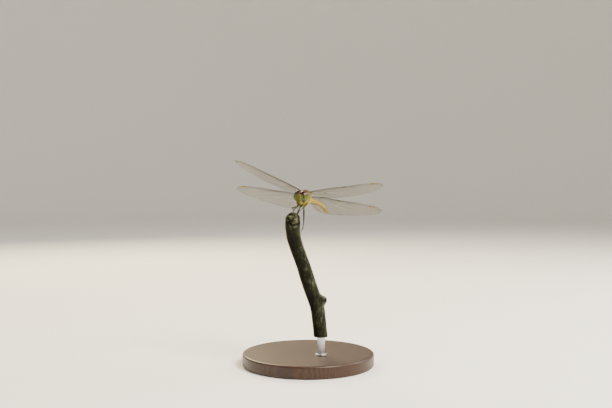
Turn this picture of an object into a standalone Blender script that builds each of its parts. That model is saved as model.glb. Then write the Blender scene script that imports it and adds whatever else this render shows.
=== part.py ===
"""A darter dragonfly at rest on the broken tip of a twig, held up by a plain display stand.

Every size is in millimetres until a mesh is made. The dragonfly is drawn in its own frame,
+X to its front, +Y to its left and +Z to its back, and one empty sets it down in its pose.
The twig and the stand are drawn where they stand, with the floor at Z = 0 and the origin under
the middle of the base.
"""
import math

import bpy
import bmesh
import numpy as np
from mathutils import Matrix, Vector

MM = 0.001
GAP = 0.05                     # clearance between pieces that meet

# Pose of the thorax. At rest the head points along -Y.
BODY_AT = (-0.89, -2.60, 65.78)
PITCH_UP = 7.0                 # degrees, nose up
ROLL_LEFT_DOWN = 8.0           # degrees
HEAD_AT = (5.5, 0.0, 0.1)      # centre of the head in the dragonfly's frame
HEAD_TURN_RIGHT = 9.0

# Wings: root of the leading edge, length, angle of the chord, and degrees of forward sweep and
# of rise for each wing as it is held.
FORE_ROOT = (0.3, 1.4, 2.85)
HIND_ROOT = (-2.3, 1.4, 1.35)
FORE_LENGTH = 29.6
HIND_LENGTH = 28.9
WING_THICK = 0.5
FORE_CHORD_ANGLE = 28.0
HIND_CHORD_ANGLE = 37.0
WASHOUT = 2.0                  # degrees by which the wing untwists from root to tip
LEFT_SPREAD = ((3.0, 15.2), (-1.5, 0.0))     # sweep and rise of the forewing and the hindwing
RIGHT_SPREAD = ((11.0, 16.4), (0.0, 0.2))

# Abdomen: lengths of its ten segments, and the bend of the whole.
SEGMENTS = (0.9, 1.9, 2.9, 3.6, 3.7, 3.6, 3.4, 2.5, 1.7, 1.0)
ABDOMEN_AT = (-3.4, 0.0, -0.5)
ABDOMEN_YAW = 5.0              # degrees to the left
ABDOMEN_DROOP = (-3.0, 22.0)   # degrees below the body axis, at its base and its tip

# Twig and stand. The twig leans in one upright plane, which this direction and depth set.
LEAN_TURN = 16.0               # degrees from +X of the direction in which the twig leans
TWIG_DEPTH = -6.0              # of that plane, towards the dragonfly's front
ROD_ACROSS = 5.0
ROD_RADIUS = 1.5
BASE_RADIUS = 26.0
BASE_HEIGHT = 5.0
TWIG_FOOT = 12.3
KNOB_ACROSS = -6.0
KNOB_RIM = 58.3                # height at which the twig's end begins to dome over
KNOB_RADIUS = 2.84
KNOB_DOME = 2.42
FOOT_CLEAR = 0.32              # from the twig to the middle of a tarsus


# ---------------------------------------------------------------- shared helpers

def clear_scene():
    for item in list(bpy.data.objects):
        bpy.data.objects.remove(item)


def make_material(name, colour, roughness, metallic=0.0):
    material = bpy.data.materials.new(name)
    material.use_nodes = True
    shader = material.node_tree.nodes["Principled BSDF"]
    shader.inputs["Base Color"].default_value = (*colour, 1.0)
    shader.inputs["Roughness"].default_value = roughness
    shader.inputs["Metallic"].default_value = metallic
    return material


def make_object(name, points, faces, material, parent=None):
    """A mesh object from points in millimetres, with its faces turned outwards."""
    mesh = bpy.data.meshes.new(name)
    mesh.from_pydata((np.asarray(points, float) * MM).tolist(), [], faces)
    shaped = bmesh.new()
    shaped.from_mesh(mesh)
    bmesh.ops.recalc_face_normals(shaped, faces=shaped.faces)
    shaped.to_mesh(mesh)
    shaped.free()
    mesh.shade_smooth()
    mesh.set_sharp_from_angle(angle=math.radians(40))
    mesh.materials.append(material)
    item = bpy.data.objects.new(name, mesh)
    bpy.context.scene.collection.objects.link(item)
    item.parent = parent
    return item


def hide_as_tool(item):
    item.hide_render = True
    item.display_type = "WIRE"
    return item


def clearance_of(item):
    """A hidden copy of a piece, swollen by GAP, for cutting its neighbours."""
    tool = item.copy()
    tool.name = item.name + "_clearance"
    bpy.context.scene.collection.objects.link(tool)
    swell = tool.modifiers.new("swell", "DISPLACE")
    swell.mid_level = 0.0
    swell.strength = GAP * MM
    return hide_as_tool(tool)


def combine(item, tool, operation):
    boolean = item.modifiers.new(operation.lower(), "BOOLEAN")
    boolean.operation = operation
    boolean.object = tool


def smooth_curve(points, count):
    """Points evenly spaced by parameter on a Catmull-Rom curve through the given ones."""
    known = np.asarray(points, float)
    padded = np.vstack([2 * known[0] - known[1], known, 2 * known[-1] - known[-2]])
    along = np.linspace(0, len(known) - 1, count)
    span = np.minimum(along.astype(int), len(known) - 2)
    t = (along - span)[:, None]
    a, b, c, d = (padded[span + k] for k in range(4))
    return 0.5 * (2 * b + (c - a) * t + (2 * a - 5 * b + 4 * c - d) * t ** 2
                  + (3 * b - a - 3 * c + d) * t ** 3)


def loft(name, rings, material, parent=None):
    """A closed body through rings of points, each ring as long as the others."""
    rings = np.asarray(rings, float)
    count, sides = rings.shape[:2]
    ends = [rings[0].mean(axis=0), rings[-1].mean(axis=0)]
    points = np.vstack([rings.reshape(-1, 3), ends])
    faces = []
    for ring in range(count - 1):
        for side in range(sides):
            after = (side + 1) % sides
            low, high = ring * sides, (ring + 1) * sides
            faces.append((low + side, low + after, high + after, high + side))
    first, last = count * sides, count * sides + 1
    for side in range(sides):
        after = (side + 1) % sides
        faces.append((first, after, side))
        faces.append((last, (count - 1) * sides + side, (count - 1) * sides + after))
    return make_object(name, points, faces, material, parent)


def oval(sides, power=2.0):
    """Unit superellipse: its cosine-like and sine-like coordinates."""
    angle = np.linspace(0, 2 * math.pi, sides, endpoint=False)
    across = np.sign(np.cos(angle)) * np.abs(np.cos(angle)) ** (2 / power)
    upward = np.sign(np.sin(angle)) * np.abs(np.sin(angle)) ** (2 / power)
    return across, upward


def unit(vector):
    vector = np.asarray(vector, float)
    return vector / np.linalg.norm(vector, axis=-1, keepdims=True)


def capsule(name, start, end, start_radius, end_radius, material, parent=None, sides=8):
    """A tapered bar with round ends."""
    start, end = np.asarray(start, float), np.asarray(end, float)
    axis = unit(end - start)
    helper = np.eye(3)[np.argmin(np.abs(axis))]
    first = unit(np.cross(axis, helper))
    second = np.cross(axis, first)
    across, upward = oval(sides)
    rings = []
    for centre, radius, angles in ((start, start_radius, (-70, -35, 0)),
                                   (end, end_radius, (0, 35, 70))):
        for angle in np.radians(angles):
            middle = centre + axis * radius * math.sin(angle)
            flat = radius * math.cos(angle)
            rings.append(middle + flat * (across[:, None] * first + upward[:, None] * second))
    return loft(name, rings, material, parent)


# ---------------------------------------------------------------- frames

def body_pose():
    """The dragonfly's own frame set down in its pose, in metres."""
    turn = (Matrix.Rotation(math.radians(-90), 4, "Z")
            @ Matrix.Rotation(math.radians(-PITCH_UP), 4, "Y")
            @ Matrix.Rotation(math.radians(-ROLL_LEFT_DOWN), 4, "X"))
    return Matrix.Translation(Vector(BODY_AT) * MM) @ turn


def twig_point(across, depth, height):
    """A point by its place along the twig's lean, behind the twig's plane, and up."""
    turn = math.radians(LEAN_TURN)
    lean = np.array([math.cos(turn), math.sin(turn), 0.0])
    behind = np.array([-math.sin(turn), math.cos(turn), 0.0])
    return across * lean + (TWIG_DEPTH + depth) * behind + np.array([0.0, 0.0, height])


def in_body(point):
    """A point of the floor's frame, in the dragonfly's own frame."""
    return np.array(body_pose().inverted() @ (Vector(point) * MM)) / MM


# ---------------------------------------------------------------- head

def turn_head(points):
    """Points about the middle of the head, turned with it and set at the front of the body."""
    turn = math.radians(HEAD_TURN_RIGHT)
    points = np.asarray(points, float)
    x, y = points[..., 0], points[..., 1]
    turned = np.stack([x * math.cos(turn) + y * math.sin(turn),
                       y * math.cos(turn) - x * math.sin(turn), points[..., 2]], axis=-1)
    return turned + np.array(HEAD_AT)


def head_rings(sides):
    """Level slices of the head's hard core, from the lower lip to the vertex."""
    # height, half width, furthest front, furthest back
    slices = smooth_curve((
        (-2.90, 0.50, 0.20, -0.70),
        (-2.60, 1.12, 0.78, -1.00),
        (-1.95, 1.52, 1.22, -1.15),
        (-1.15, 1.62, 1.48, -1.20),
        (-0.35, 1.60, 1.60, -1.25),
        (0.35, 1.50, 1.75, -1.30),
        (0.80, 1.32, 1.68, -1.30),
        (1.10, 1.02, 1.30, -1.25),
        (1.40, 0.62, 0.80, -1.10),
        (1.70, 0.35, 0.55, -0.80),
    ), 16)
    across, forward = oval(sides, 2.3)
    rings = np.zeros((len(slices), sides, 3))
    middle = (slices[:, 2] + slices[:, 3]) / 2
    reach = (slices[:, 2] - slices[:, 3]) / 2
    rings[:, :, 0] = middle[:, None] + reach[:, None] * forward
    rings[:, :, 1] = slices[:, 1][:, None] * across
    rings[:, :, 2] = slices[:, 0][:, None]
    return turn_head(rings)


EYE_AT = (-0.20, 1.24, 0.38)       # from the middle of the head
EYE_RADII = (1.62, 1.62, 2.18)
EYE_TILT = 12.0                    # degrees by which its top leans inwards
EYE_BACK = -1.38                   # the back of the eye is nearly flat


def eye_rings(side, count, sides):
    """Level slices of one compound eye, flat at the back and where it meets the other."""
    across, upward = oval(sides)
    polar = np.radians(np.linspace(-86, 86, count))
    shape = np.zeros((count, sides, 3))
    shape[:, :, 0] = EYE_RADII[0] * np.cos(polar)[:, None] * across
    shape[:, :, 1] = EYE_RADII[1] * np.cos(polar)[:, None] * upward
    shape[:, :, 2] = EYE_RADII[2] * np.sin(polar)[:, None]
    tilt = math.radians(EYE_TILT)
    leaned = shape.copy()
    leaned[:, :, 1] = shape[:, :, 1] * math.cos(tilt) - shape[:, :, 2] * math.sin(tilt)
    leaned[:, :, 2] = shape[:, :, 1] * math.sin(tilt) + shape[:, :, 2] * math.cos(tilt)
    leaned += np.array(EYE_AT)
    leaned[:, :, 0] = np.maximum(leaned[:, :, 0], EYE_BACK)
    leaned[:, :, 1] = np.maximum(leaned[:, :, 1], GAP / 2) * side
    return turn_head(leaned)


def make_head(parent):
    face = make_material("olive_face", (0.42, 0.40, 0.14), 0.45)
    brown_eye = make_material("red_brown_eye", (0.22, 0.08, 0.04), 0.2)
    core = loft("head", head_rings(20), face, parent)
    room = clearance_of(core)
    for side, word in ((1, "left"), (-1, "right")):
        eye = loft(f"eye_{word}", eye_rings(side, 13, 18), brown_eye, parent)
        eye_room = clearance_of(eye)
        combine(eye, room, "DIFFERENCE")
        root = np.array((1.20, 0.42 * side, 1.10))
        tip = root + unit((0.80, 0.40 * side, 0.45)) * 1.9
        antenna = capsule(f"antenna_{word}", turn_head(root), turn_head(tip), 0.27, 0.25,
                          face, parent, 6)
        combine(antenna, room, "DIFFERENCE")
        combine(antenna, eye_room, "DIFFERENCE")
    return room


# ---------------------------------------------------------------- thorax

THORAX_SLANT = 0.35                # how far its top leans back, per unit of height


def thorax_rings(sides):
    """Slanting slices of the winged thorax, front to back."""
    # place along the body, height of its middle, half height, half width
    slices = smooth_curve((
        (3.70, -0.90, 0.50, 0.55),
        (3.40, -0.75, 1.40, 1.25),
        (2.90, -0.40, 2.40, 1.85),
        (2.20, -0.05, 3.05, 2.35),
        (1.20, 0.15, 3.40, 2.65),
        (0.00, 0.10, 3.30, 2.70),
        (-1.20, -0.10, 2.90, 2.50),
        (-2.20, -0.30, 2.40, 2.00),
        (-2.95, -0.45, 1.85, 1.62),
        (-3.40, -0.50, 1.30, 1.25),
    ), 16)
    across, upward = oval(sides, 2.35)
    rings = np.zeros((len(slices), sides, 3))
    rise = slices[:, 2][:, None] * upward
    rings[:, :, 0] = slices[:, 0][:, None] - THORAX_SLANT * rise
    rings[:, :, 1] = slices[:, 3][:, None] * across
    rings[:, :, 2] = slices[:, 1][:, None] + rise
    return rings


def neck_rings(sides):
    """Upright slices of the small first ring of the thorax, behind the head."""
    # place along the body, height of its middle, half height, half width
    slices = smooth_curve((
        (3.82, -0.40, 0.45, 0.50),
        (3.70, -0.50, 0.90, 0.85),
        (3.40, -0.60, 1.28, 1.18),
        (3.00, -0.80, 1.25, 1.20),
    ), 7)
    across, upward = oval(sides)
    rings = np.zeros((len(slices), sides, 3))
    rings[:, :, 0] = slices[:, 0][:, None]
    rings[:, :, 1] = slices[:, 3][:, None] * across
    rings[:, :, 2] = slices[:, 1][:, None] + slices[:, 2][:, None] * upward
    return rings


def make_thorax(parent):
    olive = make_material("olive_thorax", (0.33, 0.28, 0.10), 0.55)
    thorax = loft("thorax", thorax_rings(20), olive, parent)
    room = clearance_of(thorax)
    prothorax = loft("prothorax", neck_rings(14), olive, parent)
    combine(prothorax, room, "DIFFERENCE")
    return room, clearance_of(prothorax)


# ---------------------------------------------------------------- abdomen

def abdomen_frames(count):
    """Middle line of the abdomen and the upward direction at each of its points."""
    total = sum(SEGMENTS)
    share = np.linspace(0, 1, count)
    droop = np.radians(ABDOMEN_DROOP[0] + (ABDOMEN_DROOP[1] - ABDOMEN_DROOP[0]) * share ** 1.8)
    yaw = math.radians(ABDOMEN_YAW)
    heading = np.stack([-np.cos(droop) * math.cos(yaw), np.cos(droop) * math.sin(yaw),
                        -np.sin(droop)], axis=1)
    steps = np.vstack([np.zeros(3), (heading[1:] + heading[:-1]) / 2 * total / (count - 1)])
    line = np.array(ABDOMEN_AT) + np.cumsum(steps, axis=0)
    left = np.array([math.sin(yaw), math.cos(yaw), 0.0])
    upward = np.cross(left, heading)
    return line, left, upward


def abdomen_size(place):
    """Half width and half height of the abdomen at distances from its base."""
    known = np.array([
        (0.0, 1.22, 1.25), (1.2, 1.36, 1.42), (2.8, 1.40, 1.45), (5.0, 1.16, 1.22),
        (8.0, 1.06, 1.08), (12.5, 1.14, 1.08), (17.0, 1.24, 1.12), (20.5, 1.28, 1.16),
        (22.8, 1.16, 1.06), (24.3, 0.92, 0.86), (25.2, 0.62, 0.60),
    ])
    return tuple(np.interp(place, known[:, 0], known[:, k]) for k in (1, 2))


def segment_rings(first, last, sides):
    """Rings of the segments from first to last, each waisted a little at its two ends."""
    count = 400
    line, left, upward = abdomen_frames(count)
    ends = np.concatenate([[0.0], np.cumsum(SEGMENTS)])
    places, waists = [], []
    for segment in range(first - 1, last):
        low, high = ends[segment], ends[segment + 1]
        for share, waist in ((0.03, 0.96), (0.14, 1.0), (0.50, 0.99), (0.88, 1.0)):
            places.append(low + (high - low) * share)
            waists.append(waist)
    places.append(ends[last] - 2 * GAP)
    waists.append(0.96)
    places, waists = np.array(places), np.array(waists)
    at = places / ends[-1] * (count - 1)
    middle = np.stack([np.interp(at, np.arange(count), line[:, k]) for k in range(3)], axis=1)
    top = np.stack([np.interp(at, np.arange(count), upward[:, k]) for k in range(3)], axis=1)
    width, height = (size * waists for size in abdomen_size(places))
    across, lift = oval(sides, 2.1)
    keel = 1 + 0.05 * np.maximum(lift, 0) ** 6
    return (middle[:, None] + (width[:, None] * across)[:, :, None] * left
            + (height[:, None] * lift * keel)[:, :, None] * top[:, None])


def make_abdomen(parent, thorax_room):
    straw = make_material("straw_abdomen", (0.52, 0.38, 0.17), 0.5)
    lengths = (("abdomen_front", 1, 3), ("abdomen_middle", 4, 7), ("abdomen_rear", 8, 10))
    pieces = [loft(name, segment_rings(first, last, 12), straw, parent)
              for name, first, last in lengths]
    combine(pieces[0], thorax_room, "DIFFERENCE")
    room = clearance_of(pieces[2])
    line, left, upward = abdomen_frames(60)
    heading = unit(line[-1] - line[-2])
    for side, word in ((1, "left"), (-1, "right")):
        root = line[-1] - heading * 0.5 + 0.36 * side * left + 0.22 * upward[-1]
        tip = root + heading * 1.55 + 0.06 * side * left
        cercus = capsule(f"cercus_{word}", root, tip, 0.26, 0.25, straw, parent, 6)
        combine(cercus, room, "DIFFERENCE")


# ---------------------------------------------------------------- wings

FORE_LEAD = ((0.00, 0.000), (0.15, 0.010), (0.32, 0.012), (0.50, 0.004), (0.70, 0.008),
             (0.86, 0.002), (0.95, -0.016), (0.988, -0.042), (1.00, -0.078))
FORE_TRAIL = ((0.00, -0.045), (0.06, -0.098), (0.17, -0.180), (0.32, -0.222), (0.50, -0.232),
              (0.68, -0.214), (0.84, -0.178), (0.94, -0.136), (1.00, -0.078))
HIND_LEAD = ((0.00, 0.000), (0.14, 0.010), (0.28, 0.012), (0.42, 0.004), (0.64, 0.008),
             (0.84, 0.000), (0.94, -0.020), (0.985, -0.048), (1.00, -0.086))
HIND_TRAIL = ((0.00, -0.085), (0.030, -0.215), (0.105, -0.305), (0.22, -0.322), (0.42, -0.302),
              (0.64, -0.256), (0.82, -0.204), (0.94, -0.148), (1.00, -0.086))
ARCH = 0.006                       # height of the wing's arch, as a share of its length


def wing_frame(root, side, sweep, rise, chord_angle):
    """Root, and the directions to the tip, to the leading edge and to the upper side."""
    sweep, rise, chord_angle = np.radians((sweep, rise, chord_angle))
    span = np.array([math.sin(sweep) * math.cos(rise),
                     side * math.cos(sweep) * math.cos(rise), math.sin(rise)])
    level = unit(np.array([1.0, 0.0, 0.0]) - span[0] * span)
    normal = np.cross(level, span) * side
    chord = math.cos(chord_angle) * level + math.sin(chord_angle) * normal
    upper = math.cos(chord_angle) * normal - math.sin(chord_angle) * level
    return np.array([root[0], root[1] * side, root[2]]), span, chord, upper


def wing_surface(along, lead, trail, length, across):
    """Flat wing drawn on a grid, then arched and untwisted towards the tip."""
    front = smooth_curve(lead, along) * length
    back = smooth_curve(trail, along) * length
    share = np.linspace(0, 1, across)[None, :, None]
    flat = front[:, None] * (1 - share) + back[:, None] * share
    x, y = flat[..., 0], flat[..., 1]
    twist = np.radians(-WASHOUT) * x / length
    arch = ARCH * length * np.sin(math.pi * np.clip(x / length, 0, 1))
    return np.stack([x, y * np.cos(twist), y * np.sin(twist) + arch], axis=-1)


def make_wing(name, frame, lead, trail, length, material, parent, thorax_room):
    along, across = 19, 5
    surface = wing_surface(along, lead, trail, length, across)[:-1]
    root, span, chord, upper = frame
    half = WING_THICK / 2
    rim = np.concatenate([surface[:, 0], surface[::-1, -1]])
    loops = []
    for lift in (half, -half):
        level = surface + (0, 0, lift)
        loops.append(root + level[..., 0:1] * span + level[..., 1:2] * chord
                     + level[..., 2:3] * upper)
    rows = len(surface)
    points = np.vstack([loop.reshape(-1, 3) for loop in loops])
    faces = []
    for layer in (0, rows * across):
        for i in range(rows - 1):
            for j in range(across - 1):
                at = layer + i * across + j
                faces.append((at, at + 1, at + across + 1, at + across))
    edge = [i * across for i in range(rows)]
    edge += [(rows - 1) * across + j for j in range(1, across)]
    edge += [i * across + across - 1 for i in reversed(range(rows - 1))]
    edge += [j for j in reversed(range(1, across - 1))]
    below = rows * across
    for at, after in zip(edge, edge[1:] + edge[:1]):
        faces.append((at, after, after + below, at + below))
    wing = make_object(name, points, faces, material, parent)
    combine(wing, thorax_room, "DIFFERENCE")
    return wing


def make_wings(parent, thorax_room):
    clear = make_material("clear_wing", (0.75, 0.72, 0.60), 0.25)
    shapes = (("forewing", FORE_ROOT, FORE_CHORD_ANGLE, FORE_LEAD, FORE_TRAIL, FORE_LENGTH),
              ("hindwing", HIND_ROOT, HIND_CHORD_ANGLE, HIND_LEAD, HIND_TRAIL, HIND_LENGTH))
    for side, word, spreads in ((1, "left", LEFT_SPREAD), (-1, "right", RIGHT_SPREAD)):
        for (kind, root, chord_angle, *outline), (sweep, rise) in zip(shapes, spreads):
            frame = wing_frame(root, side, sweep, rise, chord_angle)
            make_wing(f"{kind}_{word}", frame, *outline, clear, parent, thorax_room)


# ---------------------------------------------------------------- legs

def twig_line():
    """Middle line of the twig, bottom to top: place along its lean, height and radius."""
    return smooth_curve((
        (4.85, TWIG_FOOT, 2.70), (4.17, 18.8, 2.74), (3.65, 22.7, 2.80), (2.80, 25.9, 2.92),
        (1.50, 29.6, 2.92), (-0.18, 34.6, 2.93), (-1.88, 40.0, 2.88), (-3.75, 45.0, 2.88),
        (-5.40, 50.0, 2.84), (-5.95, 54.0, 2.80), (-6.00, 56.4, 2.82),
        (KNOB_ACROSS, KNOB_RIM, KNOB_RADIUS),
    ), 29)


def on_knob(across, depth):
    """A foothold on the twig's domed end, by its place from the middle of the knob."""
    share = math.hypot(across, depth) / (KNOB_RADIUS + FOOT_CLEAR)
    height = KNOB_RIM + (KNOB_DOME + FOOT_CLEAR) * math.sqrt(max(1 - share ** 2, 0.0))
    return np.array([KNOB_ACROSS + across, depth, height])


def on_stem(turn, height):
    """A foothold on the side of the twig, at a height above the floor."""
    line = twig_line()
    across, radius = (float(np.interp(height, line[:, 1], line[:, k])) for k in (0, 2))
    reach, turn = radius + FOOT_CLEAR, math.radians(turn)
    return np.array([across + reach * math.cos(turn), reach * math.sin(turn), height])


# Each leg: root of its coxa, hip and knee in the dragonfly's frame; then its foothold, and how
# far the ankle stands from it, in the twig's frame.
LEGS = {
    "leg_front_left": ((3.40, 0.55, -1.30), (3.70, 0.68, -2.75), (6.20, 0.70, -4.25),
                       on_knob(1.4, -1.6), (0.60, 0.30, 0.75)),
    "leg_front_right": ((3.40, -0.55, -1.30), (3.70, -0.68, -2.75), (6.20, -0.90, -4.30),
                        on_knob(-0.2, -1.9), (0.55, 0.30, 0.80)),
    "leg_mid_left": ((2.45, 0.70, -2.20), (2.45, 0.95, -3.30), (3.15, 2.60, -1.60),
                     on_knob(1.7, 0.4), (1.80, 0.00, 1.15)),
    "leg_mid_right": ((2.45, -0.70, -2.20), (2.45, -0.95, -3.30), (1.15, -4.00, -4.35),
                      on_knob(-0.6, 1.2), (0.90, 0.10, 0.65)),
    "leg_hind_left": ((1.20, 0.60, -2.40), (1.05, 0.82, -3.60), (-0.45, 1.25, -8.80),
                      on_stem(28, 52.8), (0.80, 0.50, 0.90)),
    "leg_hind_right": ((1.20, -0.60, -2.40), (1.05, -0.82, -3.60), (-0.70, -2.20, -8.60),
                       on_stem(95, 52.6), (0.00, 0.90, 0.90)),
}


def leg_points(name):
    """Root, hip, knee, ankle and toe of a leg, in the dragonfly's frame."""
    root, hip, knee, toe, ankle = LEGS[name]
    return root, hip, knee, in_body(twig_point(*(toe + ankle))), in_body(twig_point(*toe))


def make_legs(parent, rooms):
    black = make_material("dark_leg", (0.03, 0.025, 0.02), 0.4)
    for name in LEGS:
        root, hip, knee, ankle, toe = leg_points(name)
        leg = capsule(name, hip, knee, 0.36, 0.29, black, parent)
        bars = ((root, hip, 0.46, 0.40), (knee, ankle, 0.28, 0.25), (ankle, toe, 0.25, 0.25))
        for number, bar in enumerate(bars):
            tool = capsule(f"{name}_bar{number}", *bar, black, parent, 7)
            combine(leg, hide_as_tool(tool), "UNION")
        for room in rooms:
            combine(leg, room, "DIFFERENCE")


# ---------------------------------------------------------------- twig and stand

BUD_AT = (26.3, 0.0)               # height and turn of the bud, degrees from the lean
BUD_SIZE = (1.60, 1.35, 24.0)      # how far it stands out, half its height, half its turn


def make_twig():
    bark = make_material("grey_brown_bark", (0.13, 0.10, 0.07), 0.85)
    line = twig_line()
    sides = 16
    angle = np.linspace(0, 2 * math.pi, sides, endpoint=False)
    dome = np.radians((22, 45, 66, 82))
    top = np.stack([np.full(4, KNOB_ACROSS), KNOB_RIM + KNOB_DOME * np.sin(dome),
                    KNOB_RADIUS * np.cos(dome)], axis=1)
    rows = np.vstack([line, top])
    rings = []
    for across, height, radius in rows:
        turned = (np.degrees(angle) - BUD_AT[1] + 180) % 360 - 180
        bud = BUD_SIZE[0] * np.exp(-((height - BUD_AT[0]) / BUD_SIZE[1]) ** 2
                                   - (turned / BUD_SIZE[2]) ** 2)
        reach = radius + bud
        rings.append([twig_point(across + r * math.cos(a), r * math.sin(a), height)
                      for a, r in zip(angle, reach)])
    return clearance_of(loft("perch_twig", rings, bark))


def make_stand():
    lacquer = make_material("dark_lacquer", (0.05, 0.045, 0.04), 0.3)
    steel = make_material("brushed_steel", (0.55, 0.55, 0.55), 0.3, 1.0)
    angle = np.linspace(0, 2 * math.pi, 48, endpoint=False)
    circle = np.stack([np.cos(angle), np.sin(angle)], axis=1)
    profile = ((BASE_RADIUS - 0.4, 0.0), (BASE_RADIUS, 0.4), (BASE_RADIUS, 3.8),
               (BASE_RADIUS - 0.35, 4.65), (BASE_RADIUS - 1.2, BASE_HEIGHT))
    rings = [np.column_stack([circle * radius, np.full(len(circle), height)])
             for radius, height in profile]
    loft("stand_base", rings, lacquer)
    foot = twig_point(ROD_ACROSS, 0.0, 0.0)[:2]
    turn = np.linspace(0, 2 * math.pi, 24, endpoint=False)
    round_rod = np.stack([np.cos(turn), np.sin(turn)], axis=1) * ROD_RADIUS + foot
    rings = [np.column_stack([round_rod, np.full(len(round_rod), height)])
             for height in (BASE_HEIGHT + GAP, TWIG_FOOT - GAP)]
    loft("stand_rod", rings, steel)


def main():
    clear_scene()
    dragonfly = bpy.data.objects.new("dragonfly", None)
    bpy.context.scene.collection.objects.link(dragonfly)
    dragonfly.matrix_world = body_pose()
    head_room = make_head(dragonfly)
    thorax_room, neck_room = make_thorax(dragonfly)
    make_abdomen(dragonfly, thorax_room)
    make_wings(dragonfly, thorax_room)
    twig_room = make_twig()
    make_legs(dragonfly, (head_room, thorax_room, neck_room, twig_room))
    make_stand()


main()
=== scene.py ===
# %% [markdown]
# # A darter dragonfly at rest on a broken twig
# A museum makes such a model at life size: a body about 37 mm long, wings of clear film carried on
# brown veins, and legs as fine as bristles. Each cell below builds one part of it. The shapes are
# surfaces worked out as whole arrays, and each colour is a small network of shader nodes.

# %% [markdown]
# ## The measured frame
# The measured solids come first. They fix where every part lies, in metres, with the floor at zero,
# and nothing made here moves them.

# %% Load the frame
import math

import bpy
import numpy as np
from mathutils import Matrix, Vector
from mathutils.geometry import delaunay_2d_cdt


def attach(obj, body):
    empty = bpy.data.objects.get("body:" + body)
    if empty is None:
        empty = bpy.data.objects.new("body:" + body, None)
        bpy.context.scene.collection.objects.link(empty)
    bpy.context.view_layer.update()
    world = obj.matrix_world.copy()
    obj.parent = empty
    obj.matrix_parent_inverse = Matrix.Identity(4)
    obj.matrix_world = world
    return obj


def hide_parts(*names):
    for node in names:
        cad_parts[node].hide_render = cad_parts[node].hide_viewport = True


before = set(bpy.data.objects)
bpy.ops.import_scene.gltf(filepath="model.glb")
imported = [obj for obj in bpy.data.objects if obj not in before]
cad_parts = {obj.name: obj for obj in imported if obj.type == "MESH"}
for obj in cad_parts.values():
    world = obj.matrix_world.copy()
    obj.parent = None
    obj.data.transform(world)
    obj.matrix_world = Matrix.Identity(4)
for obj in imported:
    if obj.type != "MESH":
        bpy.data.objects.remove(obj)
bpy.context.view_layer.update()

MM = 0.001
print("solids:", sorted(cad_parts))

# %% [markdown]
# ## The dragonfly's own frame
# Insects are easiest to draw square to themselves: +X ahead, +Y to the left and +Z up through the
# back, in millimetres from the middle of the thorax. Three turns and a shift then set the whole
# animal down in its pose, nose a little up and its left side a little low. The head has a turn of
# its own.

# %% Pose of the body and the head
BODY_AT = np.array((-0.89, -2.60, 65.78))
PITCH_UP, ROLL_LEFT_DOWN, HEAD_TURN_RIGHT = np.radians((7.0, 8.0, 9.0))
HEAD_AT = np.array((5.5, 0.0, 0.1))


def turn_about(axis, angle):
    """Matrix of a right-handed turn about x, y or z."""
    one, two = [i for i in range(3) if i != "xyz".index(axis)]
    sign = -1 if axis == "y" else 1
    matrix = np.eye(3)
    matrix[one, one] = matrix[two, two] = math.cos(angle)
    matrix[one, two], matrix[two, one] = -sign * math.sin(angle), sign * math.sin(angle)
    return matrix


BODY_TURN = (turn_about("z", -math.pi / 2) @ turn_about("y", -PITCH_UP)
             @ turn_about("x", -ROLL_LEFT_DOWN))
HEAD_TURN = turn_about("z", -HEAD_TURN_RIGHT)


def on_body(points):
    """Points of the dragonfly's frame, in millimetres over the floor."""
    return np.asarray(points, float) @ BODY_TURN.T + BODY_AT


def on_head(points):
    """Points about the middle of the head, in the dragonfly's frame."""
    return np.asarray(points, float) @ HEAD_TURN.T + HEAD_AT


print("head stands at", np.round(on_body(HEAD_AT), 2), "mm")

# %% [markdown]
# ## Shapes as arrays
# Nearly every part of an insect is a tube that swells and shrinks. So one helper takes rows of
# points, ring after ring, and closes them into a skin with a point at each end. A shape is kept as
# its points, its faces and any numbers that its colours will need, and several shapes can be joined
# before they become one mesh.

# %% Rings, shapes and pieces
def unit(vectors):
    """Vectors divided by their lengths."""
    vectors = np.asarray(vectors, float)
    return vectors / np.linalg.norm(vectors, axis=-1, keepdims=True)


def distances(path):
    """Distance of each point of a path from its start, along the path."""
    return np.append(0, np.cumsum(np.linalg.norm(np.diff(path, axis=0), axis=1)))


def bell(values, width):
    """A bell curve: e to the minus square of the values over the width."""
    return np.exp(-(values / width) ** 2)


def xyz(x, y, z):
    """Points from three coordinates, each spread to the size of the others."""
    return np.stack(np.broadcast_arrays(x, y, z), -1)


def smooth_curve(points, count):
    """A Catmull-Rom curve: each stretch is the cubic set by the two points around it and their
    neighbours, sampled evenly by parameter."""
    known = np.asarray(points, float)
    padded = np.vstack([2 * known[0] - known[1], known, 2 * known[-1] - known[-2]])
    along = np.linspace(0, len(known) - 1, count)
    span = np.minimum(along.astype(int), len(known) - 2)
    t = (along - span)[:, None]
    a, b, c, d = (padded[span + k] for k in range(4))
    return 0.5 * (2 * b + (c - a) * t + (2 * a - 5 * b + 4 * c - d) * t ** 2
                  + (3 * b - a - 3 * c + d) * t ** 3)


def signed_power(values, power):
    """Values raised to a power, with their signs kept."""
    return np.sign(values) * np.abs(values) ** power


def swung(first, second, angle):
    """Two coordinates turned about the third axis by an angle."""
    return (first * math.cos(angle) - second * math.sin(angle),
            first * math.sin(angle) + second * math.cos(angle))


def full_turn(sides):
    """Even angles once round."""
    return np.linspace(0, 2 * math.pi, sides, endpoint=False)


def round_profile(sides, power=2.0):
    """A superellipse: the cosine and sine of each angle, each raised to 2 over the power."""
    turn = full_turn(sides)
    return signed_power(np.cos(turn), 2 / power), signed_power(np.sin(turn), 2 / power)


def signed_volume(points, faces):
    """Sum over the faces of the tetrahedra they make with the origin: above zero where the faces
    look outwards."""
    total = 0.0
    for corners in (points[block] for block in faces):
        for k in range(1, corners.shape[1] - 1):
            total += np.einsum("ij,ij->", corners[:, 0],
                               np.cross(corners[:, k], corners[:, k + 1])) / 6
    return total


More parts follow.
